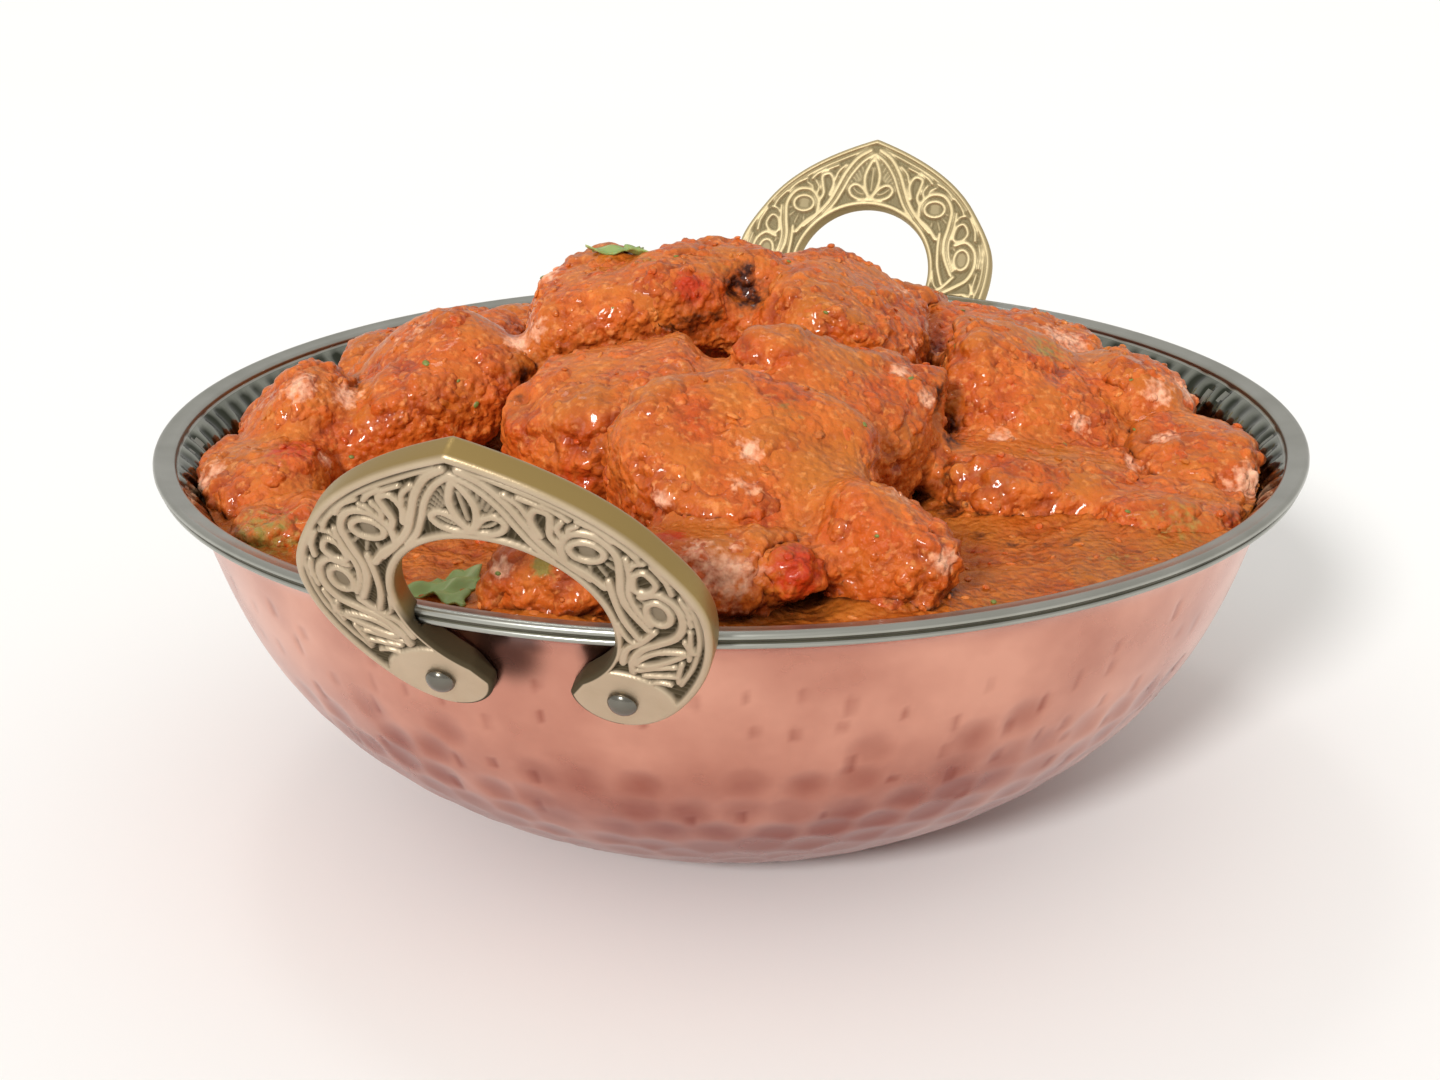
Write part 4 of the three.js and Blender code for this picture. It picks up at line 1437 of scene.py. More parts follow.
            profile = sides if from_front else sides[::-1]
            rim = edge[:, None] + profile[None, :, :1] * normals[:, None]
            depth = np.broadcast_to(profile[None, :, 1:], (rings, len(profile), 1))
            parts.append(np.concatenate([rim, depth], axis=2))
            # painted shade: the inner edge darkens towards the feet, where the handle's side lies in shade;
            # other edges have a trace of patina
            patina_and_shade = 0.05 if from_front else 0.05 + 0.95 * np.clip((14 - edge[:, 1:]) / 5, 0, 1)
            hollows.append(np.ones((rings, len(profile))) * patina_and_shade)
            off_front = np.clip(-profile[:, 1] / self.bevel, 0, 1)
            off_back = np.clip((profile[:, 1] + self.thickness) / self.bevel, 0, 1)
            flanks.append(np.tile(off_front * off_back, (rings, 1)))
        section = np.concatenate(parts, axis=1)
        hollow, side = np.concatenate(hollows, axis=1), np.concatenate(flanks, axis=1)
        placed = self.to_bowl(self.clear_of_bowl(section.reshape(-1, 3)), turn)
        faces = ring_faces(rings, section.shape[1], False)
        plate = make_piece(name, placed, faces, hollow=hollow.ravel(), side=side.ravel())
        return close_up(plate, 0.01)

    def edge_profile(self) -> np.ndarray:
        """The plate's rounded side: distance out of the outline, and depth below the outer face."""
        turn = np.linspace(0, math.pi / 2, self.rounding_steps + 1)[1:]
        front = np.stack([self.bevel * np.sin(turn), -self.bevel * (1 - np.cos(turn))], axis=1)
        back = front[::-1] * [1, -1] - [0, self.thickness]
        return np.vstack([front, [[self.bevel, -self.thickness / 2]], back])

    def clear_of_bowl(self, section: np.ndarray) -> np.ndarray:
        """Push whatever would lie in the bowl's wall or rim out to its outside.

        Args:
            section: Points in the plate's frame.

        Returns:
            The same points, none inside the bowl.
        """
        moved = section.copy()
        outside = self.bowl.sheet_line(-0.15)[self.bowl.floor_steps :]
        for _ in range(40):
            placed = self.to_bowl(moved, 0.0)
            radius = np.hypot(placed[:, 0], placed[:, 1])
            wall = np.interp(placed[:, 2], outside[:, 1], outside[:, 0])
            rim_half = (self.bowl.rim_height - self.bowl.fold_place[1] + self.bowl.fold_radius) / 2
            rim_drop = placed[:, 2] - (self.bowl.rim_height - rim_half)
            rim = self.bowl.rim_radius + 0.15 - 0.5 * (rim_drop / rim_half) ** 2
            beside_wall = np.where(placed[:, 2] < self.bowl.lip_height, wall, 0)
            beside_rim = np.where(np.abs(rim_drop) < rim_half + 0.15, rim, 0)
            limit = np.maximum(beside_wall, beside_rim)
            inside = (radius < limit) & (moved[:, 2] < -self.bevel)
            if not inside.any():
                break
            moved[inside, 2] += 0.08
        return moved

    def build_rivets(self) -> None:
        """Set a turned rivet at each foot of both handles."""
        sheets = 2 * self.bowl.sheet + 1.6
        reach, peen, shank = self.thickness + sheets, 0.7, 1.1
        dome = np.radians(np.linspace(0, 90, 9))
        head = np.stack([self.rivet_head * np.cos(dome), 0.3 + self.rivet_dome * np.sin(dome) ** 1.3], axis=1)
        inner = self.rivet_head * 0.85
        section = np.vstack([
            [0, -reach - peen],
            [inner * 0.8, -reach - peen],
            [inner, -reach - 0.5 * peen],
            [inner, -reach],
            [shank, -reach],
            [shank, 0.25],
            [self.rivet_head, 0.25],
            head,
        ])
        rivet = turned("rivet_form", section, 28)
        feet, ways = [], []
        for turn in self.turns().values():
            for side in (-self.rivet_spread, self.rivet_spread):
                foot, ahead = self.to_bowl(np.array([[side, 0, 0], [side, 0, 1.0]]), turn)
                feet.append(foot)
                ways.append(ahead - foot)
        holder = make_piece("rivets", np.array(feet), [])
        stored = holder.data.attributes.new("way", "FLOAT_VECTOR", "POINT")
        stored.data.foreach_set("vector", np.array(ways).ravel())
        look = SteelFinish("peened steel rivet", "#8E8A80", "#4E4B44", 0.22).material()
        recipe = Recipe("set_rivets", {"Rivet": ("Object", None), "Finish": ("Material", None)})
        add, given = recipe.add, recipe.given
        form = add("GeometryNodeObjectInfo", {0: given["Rivet"]}).outputs["Geometry"]
        way = add("GeometryNodeInputNamedAttribute", {"Name": "way"}, data_type="FLOAT_VECTOR")
        turned_to = add("FunctionNodeAlignRotationToVector", {"Vector": way}, axis="Z")
        points = add("GeometryNodeMeshToPoints", {0: given["Geometry"]})
        set_in = add("GeometryNodeInstanceOnPoints", {0: points, "Instance": form, "Rotation": turned_to})
        real = add("GeometryNodeRealizeInstances", {0: set_in})
        recipe.finish(add("GeometryNodeSetMaterial", {0: real, "Material": given["Finish"]}))
        recipe.put_on(holder, Rivet=rivet, Finish=look)
        remove(rivet)
        names = [f"rivet_{side}_{hand}" for side in self.turns() for hand in ("left", "right")]
        dress(holder, [look], Slot.RIVET, *names)


# ---- Food -----------------------------------------------------------------------------------


def food_recipe() -> Recipe:
    """A tree that turns a plain form into sauced meat: lumps, nubs of grain and a coat that fills them.

    It keeps how deep each place lies as the attribute hollow, and how thick the sauce is as coat.
    """
    recipe = Recipe(
        "sauced_surface",
        {
            "Lump Size": ("Float", 0.009),
            "Lump Height": ("Float", 0.0042),
            "Crease Size": ("Float", 0.0075),
            "Crease Depth": ("Float", 0.0005),
            "Nub Size": ("Float", 0.0022),
            "Nub Height": ("Float", 0.0013),
            "Grain Height": ("Float", 0.0009),
            "Coat": ("Float", 0.37),
            "Swell": ("Float", 0.0003),
            "Seed": ("Float", 0.0),
        },
    )
    add, given = recipe.add, recipe.given
    place = add("GeometryNodeInputPosition")
    normal = add("GeometryNodeInputNormal")
    shift = add("ShaderNodeCombineXYZ", {0: given["Seed"], 1: 3.7, 2: given["Seed"]})
    spot = add("ShaderNodeVectorMath", {0: place, 1: shift}, operation="ADD")
    lump_scale = add("ShaderNodeMath", {0: 1.0, 1: given["Lump Size"]}, operation="DIVIDE")
    lumps = add("ShaderNodeTexNoise", {"Vector": spot, "Scale": lump_scale, "Detail": 3.0, "Roughness": 0.5})
    lump = add("ShaderNodeMath", {0: lumps, 1: 0.5}, operation="SUBTRACT")
    lump_rise = add("ShaderNodeMath", {0: lump, 1: given["Lump Height"]}, operation="MULTIPLY")
    nub_scale = add("ShaderNodeMath", {0: 1.0, 1: given["Nub Size"]}, operation="DIVIDE")
    warp = add("ShaderNodeTexNoise", {"Vector": spot, "Scale": nub_scale, "Detail": 1.0})
    bend = add("ShaderNodeVectorMath", {0: warp.outputs["Color"], "Scale": 0.0022}, operation="SCALE")
    bent = add("ShaderNodeVectorMath", {0: spot, 1: bend}, operation="ADD")
    nubs = add(
        "ShaderNodeTexVoronoi",
        {"Vector": bent, "Scale": nub_scale, "Smoothness": 0.3},
        feature="SMOOTH_F1",
    )
    nub = add("ShaderNodeMath", {0: 0.45, 1: nubs}, operation="SUBTRACT")
    crease_scale = add("ShaderNodeMath", {0: 1.0, 1: given["Crease Size"]}, operation="DIVIDE")
    wide_warp = add("ShaderNodeTexNoise", {"Vector": spot, "Scale": crease_scale, "Detail": 2.0})
    wide_bend = add(
        "ShaderNodeVectorMath",
        {0: wide_warp.outputs["Color"], "Scale": 0.008},
        operation="SCALE",
    )
    wide_bent = add("ShaderNodeVectorMath", {0: spot, 1: wide_bend}, operation="ADD")
    edges = add(
        "ShaderNodeTexVoronoi",
        {"Vector": wide_bent, "Scale": crease_scale},
        feature="DISTANCE_TO_EDGE",
    )
    crease = add(
        "ShaderNodeMapRange",
        {"Value": edges, "From Min": 0.0, "From Max": 0.22, "To Min": -1.0, "To Max": 0.0},
        interpolation_type="SMOOTHSTEP",
    )
    crease_rise = add("ShaderNodeMath", {0: crease, 1: given["Crease Depth"]}, operation="MULTIPLY")
    coat_noise = add("ShaderNodeTexNoise", {"Vector": spot, "Scale": 1 / (9 * MM), "Detail": 2.0})
    up = add("ShaderNodeSeparateXYZ", {0: normal}).outputs["Z"]
    lean = add("ShaderNodeMath", {0: up, 1: 0.2, 2: coat_noise}, operation="MULTIPLY_ADD")
    thick = add("ShaderNodeMath", {0: lean, 1: given["Coat"]}, operation="ADD")
    coat = add(
        "ShaderNodeMapRange",
        {"Value": thick, "From Min": 0.98, "From Max": 1.28},
        interpolation_type="SMOOTHSTEP",
    )
    bare = add("ShaderNodeMapRange", {"Value": coat, "To Min": 1.0, "To Max": 0.3})
    nub_height = add("ShaderNodeMath", {0: nub, 1: given["Nub Height"]}, operation="MULTIPLY")
    torn = add("ShaderNodeMath", {0: nub_height, 1: crease_rise}, operation="ADD")
    torn_rise = add("ShaderNodeMath", {0: torn, 1: bare}, operation="MULTIPLY")
    fine = add(
        "ShaderNodeTexNoise",
        {"Vector": spot, "Scale": 1 / (1.3 * MM), "Detail": 2.0, "Roughness": 0.6},
    )
    grain = add("ShaderNodeMath", {0: fine, 1: 0.5}, operation="SUBTRACT")
    grain_height = add("ShaderNodeMath", {0: grain, 1: given["Grain Height"]}, operation="MULTIPLY")
    grain_rise = add("ShaderNodeMath", {0: grain_height, 1: bare}, operation="MULTIPLY")
    rough = add("ShaderNodeMath", {0: torn_rise, 1: grain_rise}, operation="ADD")
    rise = add("ShaderNodeMath", {0: lump_rise, 1: rough}, operation="ADD")
    level = add("ShaderNodeMath", {0: rough, 1: given["Nub Height"]}, operation="DIVIDE")
    hollow = add("ShaderNodeMapRange", {"Value": level, "From Min": 0.25, "From Max": -0.55})
    noted = add(
        "GeometryNodeStoreNamedAttribute",
        {0: given["Geometry"], "Name": "hollow", "Value": hollow},
        data_type="FLOAT",
        domain="POINT",
    )
    noted = add(
        "GeometryNodeStoreNamedAttribute",
        {0: noted, "Name": "coat", "Value": coat},
        data_type="FLOAT",
        domain="POINT",
    )
    total = add("ShaderNodeMath", {0: rise, 1: given["Swell"]}, operation="ADD")
    push = add("ShaderNodeVectorMath", {0: normal, "Scale": total}, operation="SCALE")
    moved = add("GeometryNodeSetPosition", {0: noted, "Offset": push})
    recipe.finish(add("GeometryNodeSetShadeSmooth", {0: moved}))
    return recipe


def valley_recipe() -> Recipe:
    """A tree that feels for other food round each place and keeps how shut in it is as valley."""
    recipe = Recipe("shut_in_places", {"Food": ("Object", None), "Reach": ("Float", 0.009)})
    add, given = recipe.add, recipe.given
    food = add("GeometryNodeObjectInfo", {0: given["Food"]}, transform_space="RELATIVE")
    normal = add("GeometryNodeInputNormal")
    place = add("GeometryNodeInputPosition")
    clear = add("ShaderNodeVectorMath", {0: normal, "Scale": 0.6 * MM}, operation="SCALE")
    start = add("ShaderNodeVectorMath", {0: place, 1: clear}, operation="ADD")
    total: bpy.types.Node | float = 0.0
    ways = [tuple(sign * 0.9 * (axis == i) for i in range(3)) for axis in range(3) for sign in (-1, 1)]
    for way in ways:
        towards = add("ShaderNodeVectorMath", {0: normal, 1: way}, operation="ADD")
        feeler = add(
            "GeometryNodeRaycast",
            {
                "Target Geometry": food.outputs["Geometry"],
                "Source Position": start,
                "Ray Direction": towards,
                "Ray Length": given["Reach"],
            },
        )
        share = add(
            "ShaderNodeMath",
            {0: feeler.outputs["Hit Distance"], 1: given["Reach"]},
            operation="DIVIDE",
        )
        near = add("ShaderNodeMath", {0: 1.0, 1: share}, operation="SUBTRACT")
        felt = add("ShaderNodeMath", {0: near, 1: feeler.outputs["Is Hit"]}, operation="MULTIPLY")
        total = add("ShaderNodeMath", {0: felt, 1: 1 / len(ways), 2: total}, operation="MULTIPLY_ADD")
    recipe.finish(
        add(
            "GeometryNodeStoreNamedAttribute",
            {0: given["Geometry"], "Name": "valley", "Value": total},
            data_type="FLOAT",
            domain="POINT",
        )
    )
    return recipe


def gather(pieces: Iterable[bpy.types.Object], name: str) -> bpy.types.Object:
    """Copy pieces into one helper object."""
    work = bmesh.new()
    for piece in pieces:
        work.from_mesh(piece.data)
    mesh = bpy.data.meshes.new(name)
    work.to_mesh(mesh)
    work.free()
    return put_in_scene(name, mesh)


@dataclass
class Heap:
    """The chicken pieces, each grown from its plain solid.

    The spots of each tone are the middle of a patch of sauce, its reach and how strongly it shows. The
    pits are holes that run deeper than the pieces' forms: their middle, reach and depth.
    """

    voxel: float = 0.5
    smoothing: int = 18
    patches: tuple[tuple[Tone, Spots], ...] = (
        # pale patches, partly cream and partly painted highlight
        (Tone.CREAM_AND_HIGHLIGHT, (
            (-0.5, -70.0, 56.5, 6.0, 0.7), (-3.5, -68.0, 58.0, 4.0, 0.6), (-46.5, -0.4, 66.8, 6.0, 0.45),
            (-60.5, -14.0, 63.0, 3.6, 0.8), (-26.7, 9.7, 73.3, 3.0, 0.7), (-28.1, -2.6, 68.0, 3.2, 0.7),
            (52.2, 18.7, 60.7, 6.0, 0.75), (1.7, -56.2, 62.7, 3.2, 0.5), (26.7, 14.7, 69.4, 2.8, 0.6),
            (27.4, -1.2, 64.3, 2.8, 0.6), (66.9, 0.0, 57.7, 3.4, 0.75), (69.8, -24.0, 50.5, 4.0, 0.65),
            (-70.6, -23.2, 54.0, 3.0, 0.6), (-26.7, -67.2, 56.7, 2.0, 0.8), (-8.4, -56.9, 61.1, 1.8, 0.9),
            (2.4, -51.2, 65.5, 2.4, 0.8), (23.0, -21.9, 67.2, 2.0, 0.8), (26.6, -23.3, 63.8, 2.2, 0.8),
            (24.7, -65.5, 56.6, 2.0, 0.9), (20.2, -57.1, 61.4, 2.6, 0.6), (-30.8, -1.9, 66.0, 2.6, 0.9),
            (37.6, -16.7, 56.0, 2.6, 0.7), (49.4, -12.7, 56.7, 2.4, 0.7), (-26.5, 12.2, 73.4, 2.4, 0.8),
            (29.7, 9.0, 64.6, 2.4, 0.8), (62.3, -4.2, 58.6, 3.0, 0.8), (55.5, -18.8, 52.6, 2.6, 0.8),
            (61.3, -14.7, 55.3, 2.8, 0.7), (71.4, -22.6, 51.4, 3.2, 0.9), (-55.7, -20.7, 54.2, 2.4, 0.8),
            (-72.9, -23.4, 51.3, 3.0, 0.9), (-54.5, -10.9, 60.9, 3.0, 0.8),
        )),
        (Tone.HERB, (
            (58.2, -39.1, 51.7, 6.0, 0.55), (48.9, -48.1, 49.7, 5.0, 0.45), (32.0, -66.0, 49.5, 4.0, 0.7),
            (46.1, 0.4, 63.8, 4.5, 0.7), (-60.8, -40.8, 51.6, 7.0, 0.7), (7.5, -44.1, 69.0, 3.5, 0.45),
            (-12.0, 4.0, 76.0, 4.0, 0.5), (-21.6, -68.9, 57.6, 1.6, 1.2),
        )),
        (Tone.TOMATO, (
            (-5.6, -1.2, 74.2, 3.6, 0.9), (8.1, -69.4, 57.0, 6.0, 0.85), (-6.8, -64.4, 59.5, 2.6, 0.9),
            (-20.4, -34.5, 56.1, 5.0, 0.6), (-60.1, -23.1, 56.7, 5.0, 0.8),
        )),
        # painted shade, brown, on shaded faces and in creases
        (Tone.BROWN, (
            (35.5, -29.5, 54.5, 5.0, 0.5), (43.0, -31.0, 53.5, 5.0, 0.5), (57.9, -13.5, 54.3, 4.0, 0.55),
            (-16.9, -35.7, 60.6, 4.0, 0.6), (-13.5, -49.4, 66.7, 3.0, 0.5), (7.5, -44.1, 69.0, 3.0, 0.55),
            (12.3, -47.8, 65.6, 3.0, 0.65), (2.0, -26.1, 72.6, 3.0, 0.5), (-5.0, -1.8, 68.0, 4.5, 0.7),
        )),
        (Tone.SHADE, (
            (1.9, 3.4, 72.8, 3.8, 1.0), (2.6, 4.7, 75.0, 2.4, 0.9), (3.0, 2.9, 70.9, 3.0, 0.9),
            (-8.3, -2.2, 67.4, 2.4, 0.75), (-6.0, -2.3, 68.3, 2.2, 0.7), (-4.0, -1.9, 69.2, 2.2, 0.7),
            (-1.9, -0.5, 69.4, 2.2, 0.65), (28.8, -19.6, 62.6, 2.6, 0.85), (30.4, -19.1, 56.3, 3.0, 0.8),
            (30.2, -24.6, 53.6, 2.4, 0.75), (31.3, -11.3, 55.3, 3.6, 0.8), (-28.6, -22.6, 63.6, 2.2, 0.6),
            (-30.2, -25.3, 61.6, 2.4, 0.45), (-29.9, -6.2, 61.8, 2.8, 0.8),
            (29.9, -28.8, 49.6, 3.0, 0.75), (32.7, -37.4, 48.8, 2.6, 0.65), (36.2, -40.1, 48.7, 2.4, 0.6),
            (40.5, -42.0, 49.7, 2.2, 0.6), (44.0, -41.8, 50.1, 2.2, 0.6), (-29.5, -14.0, 62.0, 3.0, 0.8),
            (-15.0, -43.0, 62.5, 2.6, 0.5), (12.3, -47.8, 65.6, 2.4, 0.4),
        )),
    )
    pits: Spots = (
        (2.0, 2.6, 73.0, 3.4, 4.4), (28.8, -21.0, 60.5, 2.8, 2.0), (-29.0, -13.0, 62.5, 3.0, 2.4),
        (-28.6, -24.6, 64.6, 2.6, 2.0), (-15.0, -43.0, 62.5, 2.4, 1.6), (12.3, -47.8, 65.6, 2.4, 1.2),
    )
    pieces: list[bpy.types.Object] = field(default_factory=list)

    def build(self) -> None:
        """Form every chicken piece."""
        recipe = food_recipe()
        for index, name in enumerate(self.names()):
            piece = self.plain_form(name)
            self.press_pits(piece)
            recipe.put_on(piece, Seed=0.37 * index)
            self.spread_tones(piece)
            self.pieces.append(piece)

    def names(self) -> list[str]:
        """The chicken's nodes."""
        return sorted(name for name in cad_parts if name.startswith("chicken_"))

    def dress_pieces(self) -> None:
        """Give every piece its sauce and its place in the frame."""
        look = CurrySauce("chicken in masala sauce").material()
        for piece, name in zip(self.pieces, self.names()):
            dress(piece, [look], Slot.CHICKEN, name)

    def plain_form(self, name: str) -> bpy.types.Object:
        """Copy a node's solid and round it into an even, fine skin."""
        piece = put_in_scene(f"{name}_sauced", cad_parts[name].data.copy())
        close_up(piece, outwards=False)
        return fresh_skin(piece, self.voxel, self.smoothing)

    def press_pits(self, piece: bpy.types.Object) -> None:
        """Sink the surface where there is a pit."""
        push_corners(piece, -fading(corners_of(piece), self.pits))

    def spread_tones(self, piece: bpy.types.Object) -> None:
        """Write how strongly each tone shows at each corner."""
        places = corners_of(piece)
        for tone, spots in self.patches:
            write_values(piece, tone.value, fading(places, spots))


@dataclass
class SaucePool:
    """The gravy that fills the bowl, and the sauce that clings in the valleys of the heap.

    The blankets are where the sauce bridges more than elsewhere: their middle, reach and extra thickness.
    """

    bowl: Kadai
    heap: Heap
    level: float = 47.6
    slope: float = 0.042
    wave: float = 0.5
    climb: float = 1.3
    climb_reach: float = 1.6
    rings: int = 130
    sides: int = 420
    voxel: float = 0.8
    bridge: float = 0.7
    blankets: Spots = (
        (2.0, -38.0, 66.0, 15.0, 3.4),
        (8.0, -22.0, 70.0, 12.0, 3.0),
        (14.0, -55.0, 61.5, 9.0, 3.6),
        (-2.8, -14.0, 67.5, 10.0, 5.5),
        (6.0, 4.0, 76.0, 9.0, 2.6),
    )
    clinging: bpy.types.Object | None = None
    pool: bpy.types.Object | None = None

    def build(self) -> None:
        """Make the clinging sauce first, because the gravy climbs up it."""
        self.clinging = self.build_clinging()
        self.pool = self.build_gravy(self.clinging)

    def dress_sauces(self) -> None:
        """Give both sauces their finish and their place in the frame."""
        dress(self.clinging, [CurrySauce("clinging masala sauce").material()], Slot.GRAVY)
        tints = {"body": "#B25212", "light": "#C66C24", "ochre": "#B0661E", "fleck": "#CE7C38"}
        look = CurrySauce("thick masala gravy", **tints, film=0.12).material()
        dress(self.pool, [look], Slot.GRAVY, "gravy")

    def surface(self, x: np.ndarray, y: np.ndarray) -> np.ndarray:
        """Height of the gravy over a place."""
        return self.level - self.slope * y + self.wave * np.sin(x / 7 + 1) * np.sin(y / 9)

    def build_clinging(self) -> bpy.types.Object:
        """Wrap the heap in one skin that bridges the valleys between its pieces."""
        solids = [node for name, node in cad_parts.items() if name.startswith("chicken_")]
        sauce = close_up(gather(solids, "clinging_sauce"), outwards=False)
        for way, smoothing in ((1, 4), (-1, 4)):
            fresh_skin(sauce, self.voxel, smoothing)
            bridged = self.bridge + fading(corners_of(sauce), self.blankets)
            push_corners(sauce, way * bridged)
        fresh_skin(sauce, self.voxel, 8)
        self.heap.press_pits(sauce)
        self.thicken(sauce, coat=0.48)
        return sauce

    def thicken(self, sauce: bpy.types.Object, coat: float) -> None:
        """Give a sauce its soft lumps and its tones.

        Args:
            sauce: The sauce's object.
            coat: How much of its grain is drowned.
        """
        sizes = {"Lump_Height": 1.6 * MM, "Nub_Height": 0.9 * MM, "Crease_Depth": 0.0, "Swell": 0.0}
        food_recipe().put_on(sauce, Coat=coat, **sizes)
        self.heap.spread_tones(sauce)

    def build_gravy(self, clinging: bpy.types.Object) -> bpy.types.Object:
        """Make the gravy's solid: a fine top that climbs the pieces and the wall, over the bowl's form.

        Args:
            clinging: The sauce that it climbs.

        Returns:
            The closed solid.
        """
        angle = np.linspace(0, 2 * math.pi, self.sides, endpoint=False)
        share = np.linspace(0, 1, self.rings) ** 0.8
        cos, sin = np.cos(angle), np.sin(angle)
        edge = self.bowl.inside_radius(self.surface(77 * cos, 77 * sin)) + 0.3
        radius = share[:, None] * edge[None]
        x, y = radius * cos, radius * sin
        z = self.surface(x, y)
        z += self.climb * np.exp(-(edge[None] - radius) / 0.7) * 0.5
        graph = bpy.context.evaluated_depsgraph_get()
        tree = BVHTree.FromObject(clinging, graph)
        top = np.stack([x, y, z], axis=2).reshape(-1, 3)
        reach = 6 * MM
        for index, place in enumerate(top):
            found = tree.find_nearest(Vector(place) * MM, reach)
            if found[0] is not None:
                top[index, 2] += self.climb * math.exp(-found[3] / MM / self.climb_reach)
        parts = [top.reshape(self.rings, self.sides, 3)]
        line = self.bowl.sheet_line(2 * self.bowl.sheet + self.bowl.gap - 0.1)
        line = line[(line[:, 1] < 44) & (line[:, 0] > 0)][::-4]
        for r, h in line:
            parts.append(np.stack([r * cos, r * sin, h + 0 * cos], axis=1)[None])
        parts.append(np.stack([0 * cos, 0 * cos, line[-1, 1] + 0 * cos], axis=1)[None])
        grid = np.concatenate(parts)
        pool = make_piece("gravy_pool", grid.reshape(-1, 3), ring_faces(len(grid), self.sides, False))
        close_up(pool)
        self.thicken(pool, coat=0.4)
        return pool


@dataclass
class CorianderLeaf:
    """One lobed leaf that lies on the food."""

    node: str
    middle: tuple[float, float]
    length: float
    width: float
    azimuth: float
    teeth: int = 5
    sheet: float = 0.3
    clearance: float = 0.35
    ribs: int = 60
    steps: int = 14

    def build(self, ground: BVHTree, look: bpy.types.Material) -> None:
        """Lay the leaf over the ground and dress it.

        Args:
            ground: The food that it lies on.
            look: The leaf's material.
        """
        span = np.linspace(-1, 1, self.ribs)
        angle = span * math.radians(100)
        lobes = 0.62 + 0.38 * np.abs(np.cos(1.5 * angle)) ** 1.2
        teeth = 1 + 0.09 * np.cos(angle * self.teeth * 3)
        reach = lobes * teeth
        rows = np.linspace(0.02, 1, self.steps)
        forward = rows[:, None] * (reach * np.cos(angle))[None] - 0.35
        side = rows[:, None] * (reach * np.sin(angle))[None]
        forward = forward * self.length / 1.35
        side = side * self.width / 1.7
        turn = math.radians(self.azimuth)
        x = self.middle[0] + forward * math.cos(turn) - side * math.sin(turn)
        y = self.middle[1] + forward * math.sin(turn) + side * math.cos(turn)
        base = np.zeros_like(x)
        for index in np.ndindex(x.shape):
            start = Vector((x[index], y[index], 120)) * MM
            hit = ground.ray_cast(start, Vector((0, 0, -1)))
            base[index] = hit[0].z / MM if hit[0] is not None else np.nan
        across, along = x - x.mean(), y - y.mean()
        known = ~np.isnan(base)
        terms = np.stack([np.ones(known.sum()), across[known], along[known]], axis=1)
        plane = np.linalg.lstsq(terms, base[known], rcond=None)[0]
        smooth = plane[0] + plane[1] * across + plane[2] * along
        lift = max(0.0, float(np.nanpercentile(base - smooth, 80)))
        ripple = 0.35 * np.sin(forward * 1.3 + side) + 0.25 * np.cos(side * 1.7)
        z = smooth + lift + self.clearance + ripple
        vein = np.exp(-((np.abs(np.sin(1.5 * angle)) / 0.10) ** 2))[None] * np.ones((self.steps, 1))
        top = np.stack([x, y, z + self.sheet / 2], axis=2)
        bottom = np.stack([x, y, z - self.sheet / 2], axis=2)
        grid = np.concatenate([top.reshape(-1, 3), bottom.reshape(-1, 3)])
        leaf = make_piece(f"{self.node}_leaf", grid, self.faces(), vein=np.tile(vein.ravel(), 2) * 0.7)
        close_up(leaf, 0.005)
        dress(leaf, [look], Slot.CORIANDER, self.node)
        log.info("%s lies at %.1f", self.node, np.nanmean(base))

    def faces(self) -> list[tuple[int, ...]]:
        """Faces of the two sides and of the edge that joins them."""
        faces = []
        under = self.steps * self.ribs
        for i in range(self.steps - 1):
            for k in range(self.ribs - 1):
                a = i * self.ribs + k
                b = a + self.ribs
                faces.append((a, a + 1, b + 1, b))
                faces.append((under + a, under + b, under + b + 1, under + a + 1))
        edge = list(range(self.ribs))
        edge += [(i + 1) * self.ribs - 1 for i in range(1, self.steps)]
        edge += [(self.steps - 1) * self.ribs + k for k in range(self.ribs - 2, -1, -1)]
        edge += [i * self.ribs for i in range(self.steps - 2, 0, -1)]
        for a, b in zip(edge, edge[1:] + edge[:1]):
            faces.append((b, a, under + a, under + b))
        return faces


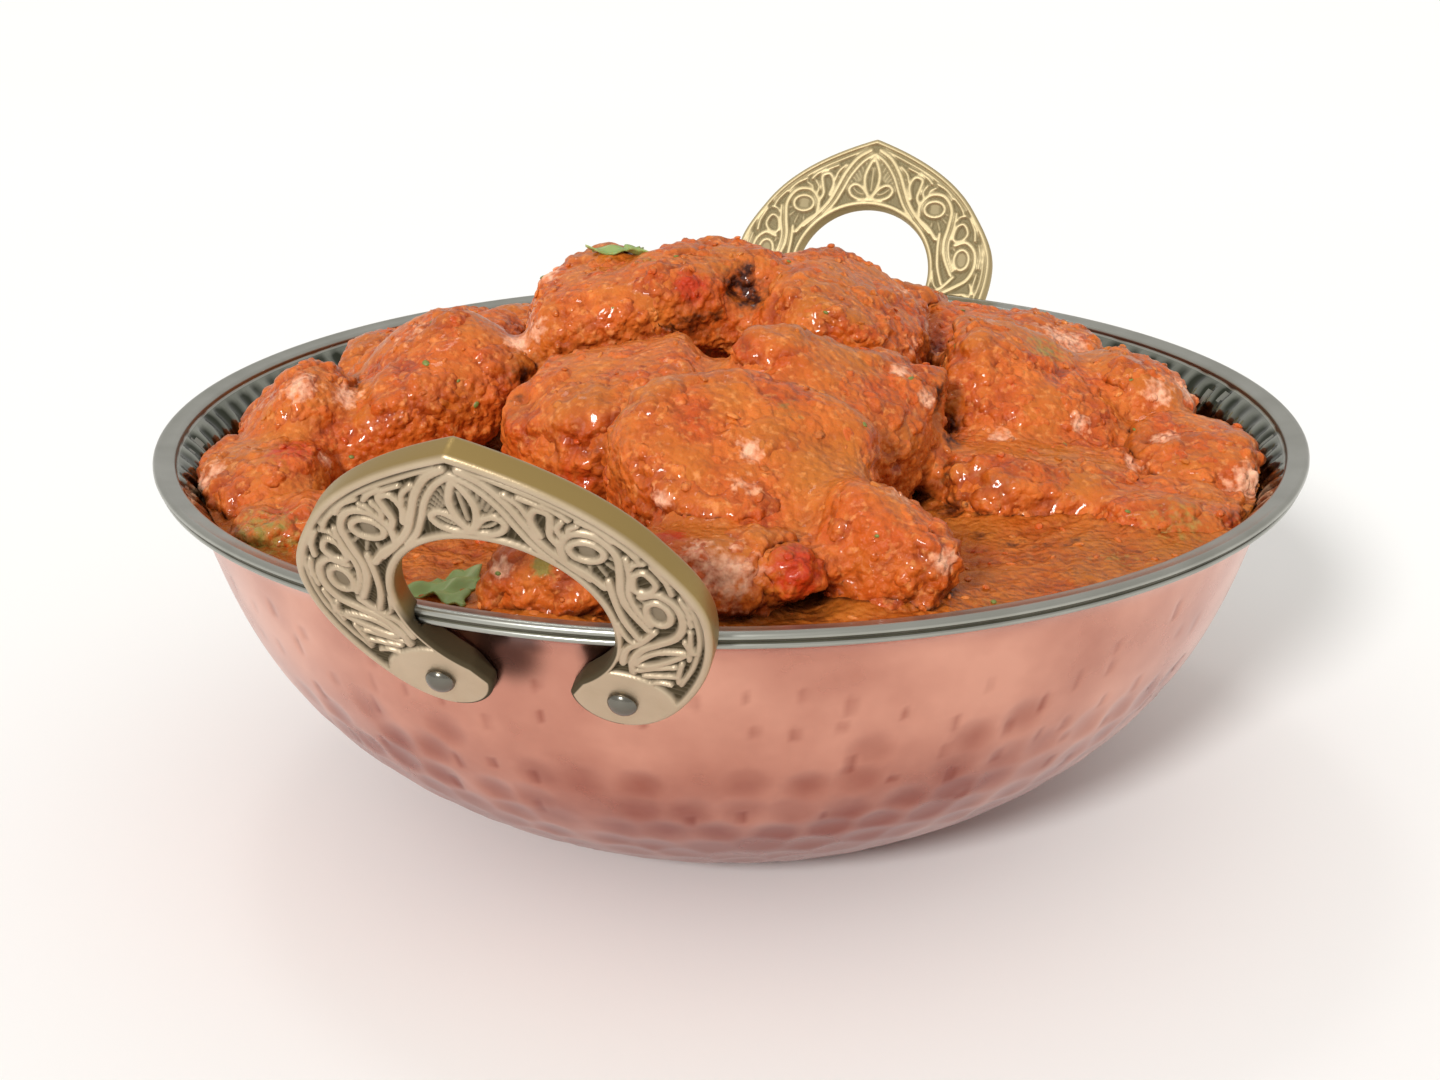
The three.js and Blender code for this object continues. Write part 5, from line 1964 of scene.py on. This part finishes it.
@dataclass
class Garnish:
    """Coriander leaves, and the bits of spice and herb that stick in the sauce."""

    heap: Heap
    pool: SaucePool
    leaves: tuple[CorianderLeaf, ...] = (
        CorianderLeaf("coriander_front", (-34.2, -57.5), 12, 9.5, 60),
        CorianderLeaf("coriander_sprig", (-22.6, -58), 5, 3.4, 60),
        CorianderLeaf("coriander_top", (-16, 11), 10, 7, 190),
    )

    def build(self) -> None:
        """Find the valleys and dress the food, then lay the leaves and scatter the bits."""
        sauced = [*self.heap.pieces, self.pool.clinging, self.pool.pool]
        ground = gather(sauced, "food_copy")
        valleys = valley_recipe()
        for piece in sauced:
            valleys.put_on(piece, Food=ground)
        self.heap.dress_pieces()
        self.pool.dress_sauces()
        graph = bpy.context.evaluated_depsgraph_get()
        tree = BVHTree.FromObject(ground, graph)
        look = FreshLeaf().material()
        for leaf in self.leaves:
            leaf.build(tree, look)
        recipe = bits_recipe()
        spice = CurrySauce("minced onion and tomato in sauce", body="#C8480E", light="#E08A40").material()
        herb = FreshLeaf("#7C8A3C", "#9C9A52", "#6A6E2C").material()
        bits = self.scatter(recipe, ground, "masala_bits", spice, Density=0.02, Size=1.6, Seed=4)
        self.heap.spread_tones(bits)
        dress(bits, [spice], Slot.GRAVY)
        flecks = self.scatter(recipe, ground, "herb_flecks", herb, Density=0.0012, Size=1.1, Seed=9)
        dress(flecks, [herb], Slot.CORIANDER)
        remove(ground)

    def scatter(
        self,
        recipe: Recipe,
        ground: bpy.types.Object,
        name: str,
        look: bpy.types.Material,
        **sizes: float,
    ) -> bpy.types.Object:
        """Scatter bits over the food.

        Args:
            recipe: The scattering tree.
            ground: The food's mesh.
            name: The new piece's name.
            look: The bits' material.
            sizes: Bits for each square millimetre, their size in millimetres and a seed.

        Returns:
            The piece that holds every bit.
        """
        piece = put_in_scene(name, ground.data.copy())
        density, size = sizes["Density"] / MM**2, sizes["Size"] * MM
        return recipe.put_on(piece, Density=density, Size=size, Seed=int(sizes["Seed"]), Finish=look)


def bits_recipe() -> Recipe:
    """A tree that sets small uneven bits on whatever faces the sky."""
    recipe = Recipe(
        "scattered_bits",
        {
            "Density": ("Float", 20000.0),
            "Size": ("Float", 0.001),
            "Seed": ("Int", 1),
            "Finish": ("Material", None),
        },
    )
    add, given = recipe.add, recipe.given
    normal = add("GeometryNodeInputNormal")
    up = add("ShaderNodeSeparateXYZ", {0: normal}).outputs["Z"]
    open_side = add("ShaderNodeMath", {0: up, 1: -0.25}, operation="GREATER_THAN")
    sown = add(
        "GeometryNodeDistributePointsOnFaces",
        {0: given["Geometry"], "Selection": open_side, "Density": given["Density"], "Seed": given["Seed"]},
        distribute_method="RANDOM",
    )
    ball = add("GeometryNodeMeshUVSphere", {"Segments": 8, "Rings": 5, "Radius": 0.5})
    spin = add(
        "FunctionNodeRandomValue",
        {0: (-0.3, -0.3, 0.0), 1: (0.3, 0.3, 6.283), "Seed": given["Seed"]},
        data_type="FLOAT_VECTOR",
    )
    turn = add(
        "FunctionNodeRotateRotation",
        {0: sown.outputs["Rotation"], 1: spin},
        rotation_space="LOCAL",
    )
    stretch = add(
        "FunctionNodeRandomValue",
        {0: (0.3, 0.3, 0.2), 1: (1.2, 0.9, 0.45), "Seed": given["Seed"]},
        data_type="FLOAT_VECTOR",
    )
    size = add("ShaderNodeVectorMath", {0: stretch, "Scale": given["Size"]}, operation="SCALE")
    laid = add(
        "GeometryNodeInstanceOnPoints",
        {0: sown, "Instance": ball, "Rotation": turn, "Scale": size},
    )
    real = add("GeometryNodeRealizeInstances", {0: laid})
    smooth = add("GeometryNodeSetShadeSmooth", {0: real})
    recipe.finish(add("GeometryNodeSetMaterial", {0: smooth, "Material": given["Finish"]}))
    return recipe


# ---- The whole ------------------------------------------------------------------------------


def main() -> None:
    """Build the studio, the bowl, the handles and the food, in that order."""
    logging.basicConfig(level=logging.INFO, format="%(message)s")
    Studio().build()
    bowl = Kadai()
    bowl.build()
    CastHandles(bowl).build()
    heap = Heap()
    heap.build()
    pool = SaucePool(bowl, heap)
    pool.build()
    Garnish(heap, pool).build()


if __name__ == "__main__":
    main()
